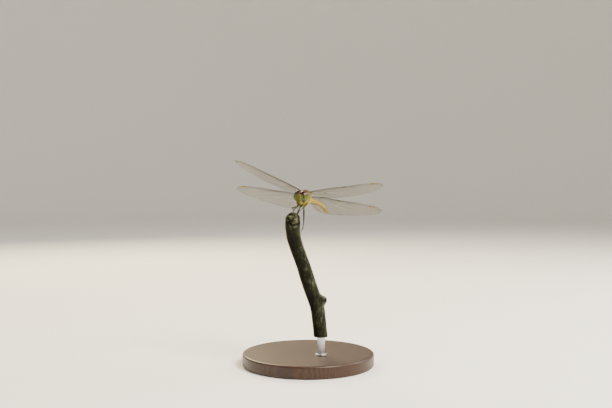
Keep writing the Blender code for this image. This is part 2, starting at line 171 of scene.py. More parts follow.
def skin(rings, **numbers):
    """Rings of equal count joined by four-sided faces, with a fan of triangles to a point in the
    middle of each end ring. A skin that comes out inside out is turned. Numbers are arrays that
    spread to one value for each point of the rings."""
    rings = np.asarray(rings, float)
    rows, sides = rings.shape[:2]
    points = np.vstack([rings.reshape(-1, 3), rings[0].mean(0), rings[-1].mean(0)])
    row, side = np.meshgrid(np.arange(rows - 1), np.arange(sides), indexing="ij")
    low, after = row * sides, (side + 1) % sides
    quads = np.stack([low + side, low + after, low + sides + after, low + sides + side], -1)
    side = np.arange(sides)
    after, last = (side + 1) % sides, (rows - 1) * sides
    start, end = np.full(sides, rows * sides), np.full(sides, rows * sides + 1)
    fans = np.concatenate([np.stack([start, after, side], -1),
                           np.stack([end, last + side, last + after], -1)])
    faces = [quads.reshape(-1, 4), fans]
    if signed_volume(points - points[-1], faces) < 0:
        faces = [block[:, ::-1] for block in faces]
    kept = {}
    for name, values in numbers.items():
        values = np.broadcast_to(values, (rows, sides))
        kept[name] = np.append(values.ravel(), (values[0].mean(), values[-1].mean()))[:, None]
    return {"points": points, "faces": faces, "numbers": kept}


def marked(shape, **numbers):
    """A shape with these numbers for its colours: plain ones, or one value for each point."""
    blank = np.zeros((len(shape["points"]), 1))
    return dict(shape, numbers={n: blank + np.reshape(v, (-1, 1)) for n, v in numbers.items()})


def moved(shape, *moves):
    """A shape put in its place by one or more functions. Where it was drawn is kept as its place."""
    numbers = dict(shape["numbers"], place=shape["points"].copy())
    points = shape["points"]
    for move in moves:
        points = move(points)
    return {"points": points, "faces": shape["faces"], "numbers": numbers}


def join(shapes):
    """Several shapes as one: points stacked, and faces counted on from the points before them."""
    starts = np.cumsum([0] + [len(s["points"]) for s in shapes[:-1]])
    return {"points": np.vstack([s["points"] for s in shapes]),
            "faces": [f + at for s, at in zip(shapes, starts) for f in s["faces"]],
            "numbers": {n: np.vstack([s["numbers"][n] for s in shapes])
                        for n in shapes[0]["numbers"]}}


def add_piece(name, shape, material, slot, *nodes, crease=60, bake=None):
    """Makes the mesh in metres, stores its numbers as attributes, and rides it on the model. A coat
    also gets a bake map, which gives each of its points a place on an unwrap of the skin under it."""
    mesh = bpy.data.meshes.new(name)
    mesh.from_pydata((shape["points"] * MM).tolist(), [],
                     [face for block in shape["faces"] for face in block.tolist()])
    mesh.shade_smooth()
    mesh.set_sharp_from_angle(angle=math.radians(crease))
    for label, values in shape["numbers"].items():
        kind, field = ("FLOAT_VECTOR", "vector") if values.shape[1] == 3 else ("FLOAT", "value")
        layer = mesh.attributes.new(label, kind, "POINT")
        layer.data.foreach_set(field, values.astype(np.float32).ravel())
    if bake is not None:
        corner = np.zeros(len(mesh.loops), int)
        mesh.loops.foreach_get("vertex_index", corner)
        mesh.uv_layers.new(name="OFBake").data.foreach_set("uv", bake[corner].ravel())
    mesh.materials.append(material)
    piece = bpy.data.objects.new(name, mesh)
    bpy.context.scene.collection.objects.link(piece)
    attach(piece, "root")
    if nodes:
        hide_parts(*nodes)
    size = shape["points"].max(0) - shape["points"].min(0)
    held = signed_volume(shape["points"] - shape["points"][0], shape["faces"])
    print(f"{name}: {len(mesh.polygons)} faces, {np.round(size, 1)} mm, holds {held:.2f} cubic mm")


# %% [markdown]
# ## Colours and shader nodes
# Colours are written as the familiar hex codes, and one function turns them into the linear values
# that light is reckoned in. One more function adds any node with its settings and its links, so each
# material further down is a short list of steps.

# %% Colour and node helpers
def linear(code):
    """An sRGB hex code as linear red, green, blue and a full alpha."""
    levels = [int(code[i:i + 2], 16) / 255 for i in (1, 3, 5)]
    return [v / 12.92 if v <= 0.04045 else ((v + 0.055) / 1.055) ** 2.4 for v in levels] + [1.0]


def add_node(tree, kind, settings=None, links=None):
    """Adds a node. A setting fills a property or, failing that, the input of that name or number;
    a link joins an output to an input; stops fill a colour ramp."""
    node = tree.nodes.new("ShaderNode" + kind)
    for key, value in (settings or {}).items():
        if isinstance(value, str) and value.startswith("#"):
            value = linear(value)
        if key == "stops":
            ramp = node.color_ramp
            while len(ramp.elements) < len(value):
                ramp.elements.new(0.5)
            for element, (place, colour) in zip(ramp.elements, value):
                element.position, element.color = place, linear(colour)
        elif isinstance(key, str) and hasattr(node, key):
            setattr(node, key, value)
        else:
            node.inputs[key].default_value = value
    for key, output in (links or {}).items():
        tree.links.new(output, node.inputs[key])
    return node


def new_material(name, settings):
    """A material with one Principled shader, whose steady values are set on its own sockets."""
    material = bpy.data.materials.new(name)
    material.use_nodes = True
    tree = material.node_tree
    shader = tree.nodes["Principled BSDF"]
    for key, value in settings.items():
        shader.inputs[key].default_value = value
    return material, tree, shader


def formula(tree, operation, *values, clamp=False):
    """One Math node on sockets or plain numbers, and its result."""
    sockets = {i: v for i, v in enumerate(values) if hasattr(v, "is_linked")}
    numbers = {i: v for i, v in enumerate(values) if i not in sockets}
    node = add_node(tree, "Math", {"operation": operation, "use_clamp": clamp, **numbers}, sockets)
    return node.outputs[0]


def mixed(tree, share, first, second):
    """Two colours, hex codes or sockets, mixed by a share."""
    node = add_node(tree, "Mix", {"data_type": "RGBA"})
    for key, value in ((0, share), (6, first), (7, second)):
        if hasattr(value, "is_linked"):
            tree.links.new(value, node.inputs[key])
        else:
            node.inputs[key].default_value = linear(value)
    return node.outputs[2]


def carried(tree, label, output="Fac"):
    """A number that the mesh carries, or with the output "Vector" a place."""
    return add_node(tree, "Attribute", {"attribute_name": label}).outputs[output]


def stretched(tree, at, scale, **more):
    """A place scaled along its three axes, so that a pattern on it runs one way."""
    return add_node(tree, "Mapping", {"Scale": scale, **more}, {"Vector": at}).outputs["Vector"]


def grains(tree, at, scale, detail, **more):
    """Noise about one half at a place, whose grains are about one over the scale in size."""
    settings = {"Scale": scale, "Detail": detail, **more}
    return add_node(tree, "TexNoise", settings, {"Vector": at}).outputs["Fac"]


def ranged(tree, value, low, high, first=0.0, last=1.0):
    """A value carried from low and high to the first and the last number, and held there."""
    settings = {"From Min": low, "From Max": high, "To Min": first, "To Max": last}
    return add_node(tree, "MapRange", settings, {"Value": value}).outputs["Result"]


def coloured(tree, shader, colour):
    """Joins a colour to the shader."""
    tree.links.new(colour, shader.inputs["Base Color"])


def embossed(tree, shader, height, strength, depth, invert=False):
    """Raises the shader's surface by a height, as a bump of a depth in millimetres."""
    settings = {"Strength": strength, "Distance": depth * MM, "invert": invert}
    bump = add_node(tree, "Bump", settings, {"Height": height})
    tree.links.new(bump.outputs["Normal"], shader.inputs["Normal"])

# %% [markdown]
# ## Tubes, plates and noise
# Three more tools shape most of the animal. A tube carries a round profile along a path. A plate is
# a blown-up oval, the form of most hard plates on a head. Smooth noise gives the small unevenness of
# grown things, and it is seeded, so every run makes the same model.

# %% Tube, plate and noise
SIDES = ((1, "left"), (-1, "right"))   # sign of y, and the word in the names of pieces


def tube(path, radii, sides=12, across=(0.0, 0.0, 1.0)):
    """A circle carried along a path, in the plane square to it. The circle's first direction is the
    path's direction crossed with a fixed one. The cosine of the angle round the circle is kept as
    its turn, and the distance from the start as along."""
    path = np.asarray(path, float)
    ahead = unit(np.gradient(path, axis=0))
    first = unit(np.cross(ahead, np.asarray(across, float)))
    second = np.cross(ahead, first)
    turn = full_turn(sides)[None, :, None]
    radii = np.broadcast_to(radii, len(path))[:, None, None]
    rings = path[:, None] + radii * (np.cos(turn) * first[:, None] + np.sin(turn) * second[:, None])
    along = distances(path)
    return skin(rings, turn=np.cos(turn[..., 0]), along=along[:, None])


def plate(middle, reach, power=2.0, lean=0.0, rows=22, sides=32):
    """An oval: level slices whose size follows the cosine of a polar angle and whose height follows
    its sine, both raised to 2 over the power, then leaned forward by an angle in degrees."""
    polar = np.radians(np.linspace(-88, 88, rows))[:, None]
    across, ahead = round_profile(sides, power)
    size = np.cos(polar) ** (2 / power)
    height = signed_power(np.sin(polar), 2 / power)
    x, y, z = np.moveaxis(xyz(size * ahead, size * across, height) * reach, -1, 0)
    x, z = swung(x, z, math.radians(-lean))
    return skin(xyz(x, y, z) + middle)


def noise(points, size, seed):
    """Smooth noise from -1 to 1: random numbers at the corners of a lattice of that size, blended
    by an eased share of the way between them."""
    lattice = np.random.default_rng(seed).uniform(-1, 1, (24, 24, 24))
    cell = np.asarray(points, float) / size
    low = np.floor(cell).astype(int)
    part = cell - low
    part = part * part * (3 - 2 * part)
    total = 0.0
    for corner in np.ndindex(2, 2, 2):
        weight = np.prod(np.where(corner, part, 1 - part), axis=-1)
        total = total + weight * lattice[tuple(np.moveaxis((low + corner) % 24, -1, 0))]
    return total


def step(values, low, high):
    """An eased rise from 0 at low to 1 at high, or a fall where low is the greater."""
    share = np.clip((values - low) / (high - low), 0, 1)
    return share * share * (3 - 2 * share)


print("noise at three points:", np.round(noise(np.eye(3) * 0.7, 1.0, 1), 2))

# %% [markdown]
# ## The head's cuticle
# Cuticle is chitin, a horn-like film that shines softly, because its surface is nearly smooth and
# its index is about 1.55. The face is olive yellow with dark lines in its creases. The lines come
# from a number that the mesh carries, so they stay on their plates, and a fine mottling breaks the
# colour up in grains of a few tenths of a millimetre.

# %% Cuticle material
PEBBLE_SHARE = 0.35   # size of the pebbles on the surface, of the size of the colour's grains


def cuticle(name, first, second, mark, roughness, grain, **shades):
    """Grown chitin: two shades mottled in grains of a size in millimetres, more shades and a dark
    mark where the mesh asks for them, and a surface pebbled by finer grains."""
    material, tree, shader = new_material(name, {"Roughness": roughness, "IOR": 1.55,
                                                 "Specular IOR Level": 0.26})
    place = carried(tree, "place", "Vector")
    mottle = grains(tree, place, 1 / grain, 4.0, Roughness=0.6)
    colour = mixed(tree, ranged(tree, mottle, 0.35, 0.65), first, second)
    for label, shade in {**shades, "dark": mark}.items():
        colour = mixed(tree, carried(tree, label), colour, shade)
    coloured(tree, shader, colour)
    rough = ranged(tree, mottle, 0.0, 1.0, roughness - 0.06, roughness + 0.1)
    tree.links.new(rough, shader.inputs["Roughness"])
    pebbles = grains(tree, place, 1 / (PEBBLE_SHARE * grain), 3.0)
    embossed(tree, shader, pebbles, 0.25, 0.03)
    return material


face_chitin = cuticle("chitin_olive_face", "#625E0E", "#413F08", "#080603", 0.42, 0.3,
                      light="#7A7418")
print("made", face_chitin.name)

# %% [markdown]
# ## Head capsule
# A dragonfly's face is a stack of rounded hard plates: the vertex between the eyes, the frons under
# the feelers, the broad clypeus and a narrow one below it, the upper lip, the jaws at its sides and
# the lower lip under all. They are joined edge to edge, so the face is one skin with fine creases. A
# loft of level slices gives its bulk; then every plate bulges forward between its creases, which
# bow down at the sides, and the creases themselves cut in and are dark.

# %% Head capsule
HEAD_SLICES = (  # height, half width, furthest front, furthest back
    (-2.92, 0.45, 0.30, -0.70), (-2.74, 0.90, 0.72, -0.98), (-2.30, 1.20, 1.06, -1.12),
    (-1.70, 1.42, 1.26, -1.18), (-1.10, 1.46, 1.38, -1.20), (-0.45, 1.42, 1.46, -1.25),
    (0.15, 1.30, 1.56, -1.28), (0.60, 1.18, 1.68, -1.30), (0.92, 1.05, 1.62, -1.30),
    (1.14, 0.86, 1.30, -1.28), (1.30, 0.66, 0.92, -1.22), (1.50, 0.50, 0.78, -1.10),
    (1.72, 0.30, 0.50, -0.80))
CREASES = (1.12, 0.14, -0.50, -0.84, -1.62, -2.85)   # heights of the edges between the plates
BULGES = (0.13, 0.13, 0.04, 0.15, 0.10)              # how far each plate stands out between them
CREASE_WIDTH, CREASE_DEPTH = 0.055, 0.10


def head_shape(rows=210, sides=220):
    """Level superelliptic slices. A point of the front moves forward by its plate's bulge times a
    half sine of the way between two creases, and back by a bell curve about each crease, about the
    furrow down the middle of frons and lower lip, and about the front edge of each jaw."""
    height, width, front, back = smooth_curve(HEAD_SLICES, rows).T[:, :, None]
    across, ahead = round_profile(sides, 2.5)
    y, x = width * across, (front + back) / 2 + (front - back) / 2 * ahead
    bowed = height + 0.10 * y ** 2
    face = step(ahead, 0.05, 0.45)
    edge = sum(bell(bowed - at, CREASE_WIDTH) for at in CREASES)
    bulge = sum(much * np.sin(math.pi * np.clip((bowed - low) / (top - low), 0, 1))
                for much, top, low in zip(BULGES, CREASES[:-1], CREASES[1:]))
    frons = step(bowed, 0.14, 0.40) * step(bowed, 1.15, 1.00)
    jaws = step(bowed, -1.62, -1.50) * step(bowed, -0.66, -0.80)
    lips = step(bowed, -1.60, -1.72)
    furrow = (0.9 * frons * bell(y, 0.10) + 1.4 * lips * bell(y, 0.055)
              + 0.9 * jaws * bell(np.abs(y) - 0.98, 0.05)
              + 0.5 * jaws * step(bowed, -1.15, -1.5) * bell(y, 0.07))
    out = bulge * (1 - 0.25 * across ** 2) - CREASE_DEPTH * (edge + furrow)
    rings = xyz(x + face * out, y, height)
    rings = rings + 0.012 * noise(rings, 0.35, 3)[..., None] * face[..., None]
    wavered = bowed + 0.05 * noise(rings, 0.4, 4)
    top_line = step(np.abs(wavered - 1.06), 0.13, 0.07)
    tips = lips * step(np.abs(y), 0.20, 0.10) + 0.85 * jaws * step(wavered, -1.38, -1.52)
    blots = jaws * step(np.abs(np.abs(y) - 1.02), 0.12, 0.05) + 0.6 * step(wavered, -2.35, -2.6)
    dark = face * (0.75 * step(edge, 0.35, 0.75) + top_line + tips + blots
                   + 0.5 * frons * step(np.abs(y), 0.06, 0.02))
    # Painted shade low on the back of the head, next to the neck.
    painted_neck_shade = step(height, -0.9, -1.2) * step(x, -0.5, -0.75) * step(np.abs(y), 0.7, 0.95)
    light = step(np.abs(across), 0.35, 0.75) * step(wavered, 0.9, 0.2)
    return skin(rings, dark=np.clip(dark + painted_neck_shade, 0, 1), light=0.7 * light)


vertex_plates = [plate((0.52, 0, 1.42), (0.40, 0.42, 0.34)),
                 plate((-1.02, 0, 1.62), (0.34, 0.34, 0.62))]
temple_plates = [plate((-1.05, 0.95 * side, -0.60), (0.34, 0.62, 1.50), 2.3) for side, _ in SIDES]
small_plates = [marked(shape, dark=dark * step(shape["points"][:, 2], 1.36, 1.20), light=0)
                for dark, group in ((0.8, vertex_plates), (0.32, temple_plates))
                for shape in group]
head = head_shape()
add_piece("head_capsule", join([moved(shape, on_head, on_body) for shape in [head] + small_plates]),
          face_chitin, "face_cuticle", "head")

# %% [markdown]
# ## Compound eyes
# Each eye is a dome of some ten thousand lenses. From outside one sees a glossy skin, red-brown
# above and olive below, with a few dark specks where one looks straight down the lenses. The dome is
# an ellipsoid whose top leans to its neighbour; it is cut flat where the two meet and at its back.
# The lenses are about 0.03 mm across, too fine to show, so the bump draws them at 0.08 mm.

# %% Eye shape
EYE_AT = np.array((-0.20, 1.24, 0.38))
EYE_REACH = np.array((1.62, 1.62, 2.18))
EYE_TILT, EYE_BACK, EYE_GAP, EYE_POWER = math.radians(12.0), -1.38, 0.012, 2.2
EYE_SPECKS = (  # direction of a dark speck from the middle of the eye, its strength, its width
    ((0.90, 0.42, -0.16), 1.30, 0.15), ((0.80, 0.62, -0.12), 0.55, 0.09),
    ((0.94, 0.20, -0.14), 0.50, 0.09), ((0.84, 0.40, -0.42), 0.45, 0.08),
    ((0.72, 0.58, -0.40), 0.30, 0.08))
LENS_SIZE = 0.08


def eye_shape(side, rows=110, sides=150):
    """A superellipsoid of rings, leaned inwards, then held in front of its back plane and on its
    own side of the middle. Height over its middle, from -1 to 1, is kept for the colours."""
    polar = np.radians(np.linspace(-89, 89, rows))[:, None]
    turn = full_turn(sides)
    size = np.cos(polar) ** (2 / EYE_POWER)
    rise = signed_power(np.sin(polar), 2 / EYE_POWER)
    ball = xyz(size * np.cos(turn), size * np.sin(turn), rise)
    x, y, z = np.moveaxis(ball * EYE_REACH, -1, 0)
    leaned = xyz(x, *swung(y, z, EYE_TILT)) + EYE_AT
    leaned[..., 0] = np.maximum(leaned[..., 0], EYE_BACK)
    leaned[..., 1] = np.maximum(leaned[..., 1], EYE_GAP) * side
    looks = unit(ball / EYE_REACH)
    specks = sum(much * bell(np.linalg.norm(looks - unit(aim), axis=-1), wide)
                 for aim, much, wide in EYE_SPECKS)
    return moved(skin(leaned, height=ball[..., 2], speck=np.clip(specks, 0, 1)), on_head, on_body)


# %% Eye material
def eye_material():
    """Lens skin: a ramp of pigment by height, wavering a little, and lenses as a fine bump."""
    material, tree, shader = new_material("corneal_chitin_lenses", {
        "Roughness": 0.26, "IOR": 1.56, "Specular IOR Level": 0.24,
        "Coat Weight": 0.05, "Coat Roughness": 0.06})
    place = carried(tree, "place", "Vector")
    waver = formula(tree, "MULTIPLY_ADD", grains(tree, place, 1.6, 3.0), 0.14, 0.43)
    level = formula(tree, "MULTIPLY_ADD", carried(tree, "height"), 0.5, waver)
    ramp = add_node(tree, "ValToRGB", {"stops": (
        (0.00, "#1C1B06"), (0.20, "#3F4A0C"), (0.44, "#47520F"), (0.57, "#38300C"),
        (0.66, "#260F08"), (0.84, "#1C0907"), (1.00, "#2A110D"))}, {"Fac": level})
    freckle = add_node(tree, "TexVoronoi", {"Scale": 3.2, "Randomness": 1.0}, {"Vector": place})
    dots = formula(tree, "MAXIMUM", ranged(tree, freckle.outputs["Distance"], 0.16, 0.05, 0.0, 0.35),
                   carried(tree, "speck"), clamp=True)
    coloured(tree, shader, mixed(tree, dots, ramp.outputs["Color"], "#120D08"))
    lens = add_node(tree, "TexVoronoi", {"Scale": 1 / LENS_SIZE, "Randomness": 0.25},
                    {"Vector": place})
    embossed(tree, shader, lens.outputs["Distance"], 0.22, 0.02, invert=True)
    return material


lens_skin = eye_material()
for side, word in SIDES:
    add_piece(f"eye_{word}", eye_shape(side), lens_skin, "compound_eye", f"eye_{word}")

# %% [markdown]
# ## Feelers and simple eyes
# A dragonfly's feelers are short bristles on two beads. Three simple eyes sit round the vertex like
# drops of amber. The measured feelers are thicker than life so that they can be built; these are
# drawn at their true thickness inside them.

# %% Feelers and simple eyes
def feeler(side):
    """Two beads and a bristle on one curve, each a tube whose radius swells or tapers."""
    root = np.array((1.10, 0.42 * side, 1.02))
    line = smooth_curve(root + np.array((
        (0, 0, 0), (0.16, 0.08 * side, 0.16), (0.42, 0.18 * side, 0.36),
        (0.95, 0.42 * side, 0.62), (1.55, 0.72 * side, 0.86))), 60)
    share = np.linspace(0, 1, 60)
    beads = 0.10 * bell(share - 0.06, 0.07) + 0.06 * bell(share - 0.22, 0.06)
    shape = tube(line, np.maximum(beads, 0.052 * (1 - share) ** 0.6 + 0.012), 12)
    dark = np.where(shape["numbers"]["along"] > 0.12, 0.95, 0.3)
    return moved(marked(shape, dark=dark), on_head, on_body)


for side, word in SIDES:
    add_piece(f"antenna_{word}", feeler(side), face_chitin, "leg_cuticle", f"antenna_{word}")

ocelli = [marked(plate(at, (0.13, 0.13, 0.12), rows=14, sides=20), height=0.15, speck=0)
          for at in ((0.92, 0, 1.36), (0.66, 0.36, 1.44), (0.66, -0.36, 1.44))]
add_piece("simple_eyes", join([moved(bead, on_head, on_body) for bead in ocelli]), lens_skin,
          "compound_eye")

# %% [markdown]
# ## Thorax
# The winged part of the thorax is one hard box, packed with muscle, whose seams run down and forward
# because its top leans back over its legs. A single loft makes it. Seams are grooves at set places
# along the lean; a keel runs up the middle of its front. Its shade changes from dark brown on the
# front to yellow-green on the flanks, with black lines in the seams, as numbers on the mesh.

# %% Thorax form
THORAX_SLICES = (  # place along the body, height of its middle, half height, half width
    (3.70, -0.90, 0.50, 0.55), (3.40, -0.75, 1.40, 1.25), (2.90, -0.40, 2.40, 1.85),
    (2.20, -0.05, 3.05, 2.35), (1.20, 0.15, 3.40, 2.65), (0.00, 0.10, 3.30, 2.70),
    (-1.20, -0.10, 2.90, 2.50), (-2.20, -0.30, 2.40, 2.00), (-2.95, -0.45, 1.85, 1.62),
    (-3.40, -0.50, 1.30, 1.25))
THORAX_SLANT = 0.35
SEAMS = ((1.42, 0.9), (0.25, 0.55), (-1.15, 1.0))   # place along the lean, depth
SEAM_WIDTH, SEAM_SHADE_WIDTH, DOME_SPACE = 0.055, 0.15, 1.45


def thorax_shades(place, waver, across, upward, flank, back, keel, rings):
    """Dark in the seams and on the keel; painted shade at the front end by the neck and underneath,
    and dark patches low on the flank that are partly painted shade; ruddy on the front and on the
    sides of the back; pale between the seams."""
    streak = sum(depth * bell(waver - at, SEAM_SHADE_WIDTH) for at, depth in SEAMS) * flank
    # Dark patches low on the flank: partly marks, partly painted shade towards the underside.
    blotch_and_shade = step(noise(rings, 0.9, 14), 0.15, 0.4) * step(upward, -0.55, -0.85)
    # Painted shade underneath.
    under = step(upward, -0.80, -0.96)
    # The last term is painted shade at the front end, next to the neck.
    dark = streak + 0.75 * blotch_and_shade + 0.6 * under + 0.8 * keel + 0.9 * step(place, 3.25, 3.5)
    face = step(waver + 0.4 * (1 - np.abs(across)), 1.35, 1.75) * step(upward, -0.35, 0.35)
    ruddy = 0.85 * face + 0.9 * back * step(np.abs(across), 0.95, 0.6)
    pale = flank * step(upward, 0.9, 0.5) * step(np.abs(waver + 0.45), 0.75, 0.35)
    return {"dark": np.clip(dark, 0, 1), "ruddy": np.clip(ruddy, 0, 1), "pale": 0.7 * pale}


def thorax_shape(rows=230, sides=260):
    """Superelliptic slices that lean back with height. Each point then moves along its own way out:
    in where a seam passes, out on the keel and on the domes of the back, and a little by noise."""
    place, middle, rise, width = smooth_curve(THORAX_SLICES, rows).T[:, :, None]
    across, upward = round_profile(sides, 2.35)
    way = xyz(0 * place, across, upward)
    rings = xyz(place - THORAX_SLANT * rise * upward, width * across, middle + rise * upward)
    flank = step(np.abs(across), 0.25, 0.6)
    waver = place + 0.10 * noise(rings, 1.6, 11) + 0.18 * upward ** 2
    seam = sum(depth * bell(waver - at, SEAM_WIDTH) for at, depth in SEAMS) * flank
    keel = bell(across, 0.035) * step(place, 1.2, 1.7) * step(upward, 0.05, 0.4)
    back = step(upward, 0.75, 0.95) * step(place, 1.3, 0.9)
    domes = 0.5 + 0.5 * np.cos(2 * math.pi * (place + 0.1) / DOME_SPACE)
    plates = back * domes * step(np.abs(across), 0.55, 0.3)
    out = (-0.10 * seam + 0.14 * keel + 0.16 * plates - 0.10 * back * bell(across, 0.05)
           + 0.025 * noise(rings, 0.5, 12) + 0.012 * noise(rings, 0.2, 13))
    ends = step(place, 3.68, 3.45) * step(place, -3.38, -3.1)
    rings = rings + (out * ends)[..., None] * way
    shades = thorax_shades(place, waver, across, upward, flank, back, keel, rings)
    return moved(skin(rings, **shades), on_body)


# %% Thorax piece
thorax_chitin = cuticle("chitin_hairy_thorax", "#857A12", "#585008", "#0A0703", 0.48, 0.45,
                        pale="#C8B81C", ruddy="#33180A")
add_piece("thorax_box", thorax_shape(), thorax_chitin, "thorax_cuticle", "thorax")

# %% [markdown]
# ## Neck and first ring
# The head turns on a thin neck. The first ring behind it carries the front legs and ends in an
# upright collar with a fringe of long hair, which is a good mark of this kind of dragonfly. It is a
# small loft whose radius swells into three lobes.

# %% First ring
def collar_shape(rows=70, sides=120):
    """Upright oval slices; their size swells by a wave along the body into three lobes, and the
    hindmost lobe stands up into a collar notched in its middle."""
    slices = smooth_curve(((4.35, -0.15, 0.42, 0.45), (4.05, -0.28, 0.55, 0.60),
                           (3.78, -0.45, 0.88, 0.86), (3.40, -0.60, 1.24, 1.16),
                           (3.00, -0.80, 1.25, 1.20)), rows)
    place, middle, rise, width = slices.T[:, :, None]
    across, upward = round_profile(sides, 2.0)
    lobes = np.cos(2 * math.pi * (place - 3.30) / 0.62)
    swell = 1 + 0.07 * lobes * step(place, 4.1, 3.7)
    collar = (0.36 * bell(place - 3.36, 0.13) * step(upward, 0.4, 0.9)
              * (1 - 0.35 * bell(across, 0.12)))
    rings = xyz(place, width * across * swell, middle + rise * upward * swell + collar)
    dark = 0.9 * step(lobes, -0.3, -0.8) + 0.6 * step(noise(rings, 0.5, 15), 0.2, 0.5)
    return moved(skin(rings, dark=np.clip(dark, 0, 1), ruddy=0.25, pale=0), on_body)


add_piece("first_ring", collar_shape(), thorax_chitin, "thorax_cuticle", "prothorax")

# %% [markdown]
# ## Wing roots
# Each wing hinges on a few hard knuckles let into the top of the flank, red-brown in front and
# amber behind. They are small ovals laid between the thorax and the first millimetre of the wing.

# %% Wing knuckles
FORE_ROOT, HIND_ROOT = np.array((0.3, 1.4, 2.85)), np.array((-2.3, 1.4, 1.35))


def knuckles(side):
    """Ovals about each wing root: one under the front edge, two behind it, and a strut below."""
    shapes = []
    for root, tone in ((FORE_ROOT, 1.0), (HIND_ROOT, 0.15)):
        for shift, reach in (((0.10, 0.10, 0.02), (0.34, 0.62, 0.20)),
                             ((-0.36, 0.02, -0.16), (0.34, 0.50, 0.18)),
                             ((-0.86, -0.06, -0.42), (0.42, 0.42, 0.20)),
                             ((0.30, -0.12, -0.32), (0.36, 0.34, 0.34))):
            at = (root + shift) * (1, side, 1)
            shape = plate(at, reach, 2.2, 12, 16, 24)
            edge = step(noise(shape["points"], 0.35, 16), 0.25, 0.6)
            shapes.append(moved(marked(shape, dark=0.8 * edge, ruddy=tone, pale=0), on_body))
    return shapes


hinge_chitin = cuticle("chitin_amber_hinge", "#9A6414", "#74480E", "#1C0D04", 0.46, 0.3,
                       ruddy="#5E300E")
add_piece("wing_knuckles", join(knuckles(1) + knuckles(-1)), hinge_chitin, "thorax_cuticle")

# %% [markdown]
# ## Abdomen
# Ten rings, each a plate rolled round from above whose edges meet under a soft fold. One skin runs
# through them all, so that no gap opens at a joint. Its radius dips at each joint and flares just
# before it, a low keel follows the back, and a fold runs under each side. The middle line bends down
# towards the tip.

# %% Abdomen form
RINGS = np.array((0.9, 1.9, 2.9, 3.6, 3.7, 3.6, 3.4, 2.5, 1.7, 1.0))
RING_ENDS = np.concatenate([[0], np.cumsum(RINGS)])
ABDOMEN_AT, ABDOMEN_YAW, DROOP = np.array((-3.4, 0.0, -0.5)), math.radians(5), (-3.0, 22.0)
GIRTH = np.array((  # distance from its base, half width, half height
    (0.0, 1.22, 1.25), (1.2, 1.36, 1.42), (2.8, 1.40, 1.45), (5.0, 1.16, 1.22), (8.0, 1.06, 1.08),
    (12.5, 1.14, 1.08), (17.0, 1.24, 1.12), (20.5, 1.28, 1.16), (22.8, 1.16, 1.06),
    (24.3, 0.92, 0.86), (25.2, 0.62, 0.60)))


def abdomen_line(places):
    """Points of the middle line, its heading and its way up at distances from the base, and its
    one way to the left. The droop grows with the share of the length raised to 1.8, and the line is
    the sum of its headings."""
    share = np.linspace(0, 1, 400)
    droop = np.radians(DROOP[0] + (DROOP[1] - DROOP[0]) * share ** 1.8)
    heading = np.stack([-np.cos(droop) * math.cos(ABDOMEN_YAW),
                        np.cos(droop) * math.sin(ABDOMEN_YAW), -np.sin(droop)], 1)
    steps = (heading[1:] + heading[:-1]) / 2 * RING_ENDS[-1] / (len(share) - 1)
    line = ABDOMEN_AT + np.vstack([np.zeros(3), np.cumsum(steps, 0)])
    left = np.array((math.sin(ABDOMEN_YAW), math.cos(ABDOMEN_YAW), 0.0))
    upward = np.cross(left, heading)
    at = np.asarray(places) / RING_ENDS[-1]
    at_place = [np.stack([np.interp(at, share, v[:, k]) for k in range(3)], 1)
                for v in (line, heading, upward)]
    return *at_place, left


def abdomen_shades(places, ring, into, left_over, across, lift, spot):
    """Dark at the joints, in a line low on each side, in spots and a stripe on the back, on the
    keel, and underneath, partly as painted shade; light in patches along the back; rosy in a band along
    each side."""
    waver = 0.10 * noise(spot, 0.8, 22)
    above = lift > 0
    rim = step(np.minimum(into, left_over), 0.10, 0.04)
    low = 0.56 + 0.08 * step(places, 9.0, 4.0)
    side_line = step(np.abs(lift + low + waver), 0.28, 0.14) * step(into, 0.05, 0.4)
    hind = ((ring == 7) | (ring == 8)) * above * step(into, 0.2, 0.5)
    hind_stripe = hind * step(np.abs(across), 0.24, 0.12)
    middle = ((ring > 1) & (ring < 7)) * above * step(left_over, 0.75, 0.45)
    back_spots = middle * step(np.abs(np.abs(across) - 0.42), 0.16, 0.06)
    ridge = bell(across, 0.045) * above * step(noise(spot, 1.1, 23), -0.2, 0.2)
    # Dark underneath: partly its own colour, partly painted shade.
    under = step(-lift, 0.70, 0.90) * (0.6 + 0.4 * step(waver, -0.03, 0.05))
    dark = (0.75 * rim + 0.92 * side_line + 0.8 * hind_stripe + 0.65 * back_spots + 0.45 * ridge
            + 0.55 * under)
    patches = step(noise(spot, 1.3, 24), 0.35, -0.35)
    light = step(lift, 0.25, 0.85) * step(np.abs(across), 0.75, 0.35) * patches
    rosy = 0.8 * step(np.abs(lift - 0.15 + waver), 0.45, 0.15)
    return {"dark": np.clip(dark, 0, 1), "light": light, "rosy": rosy}


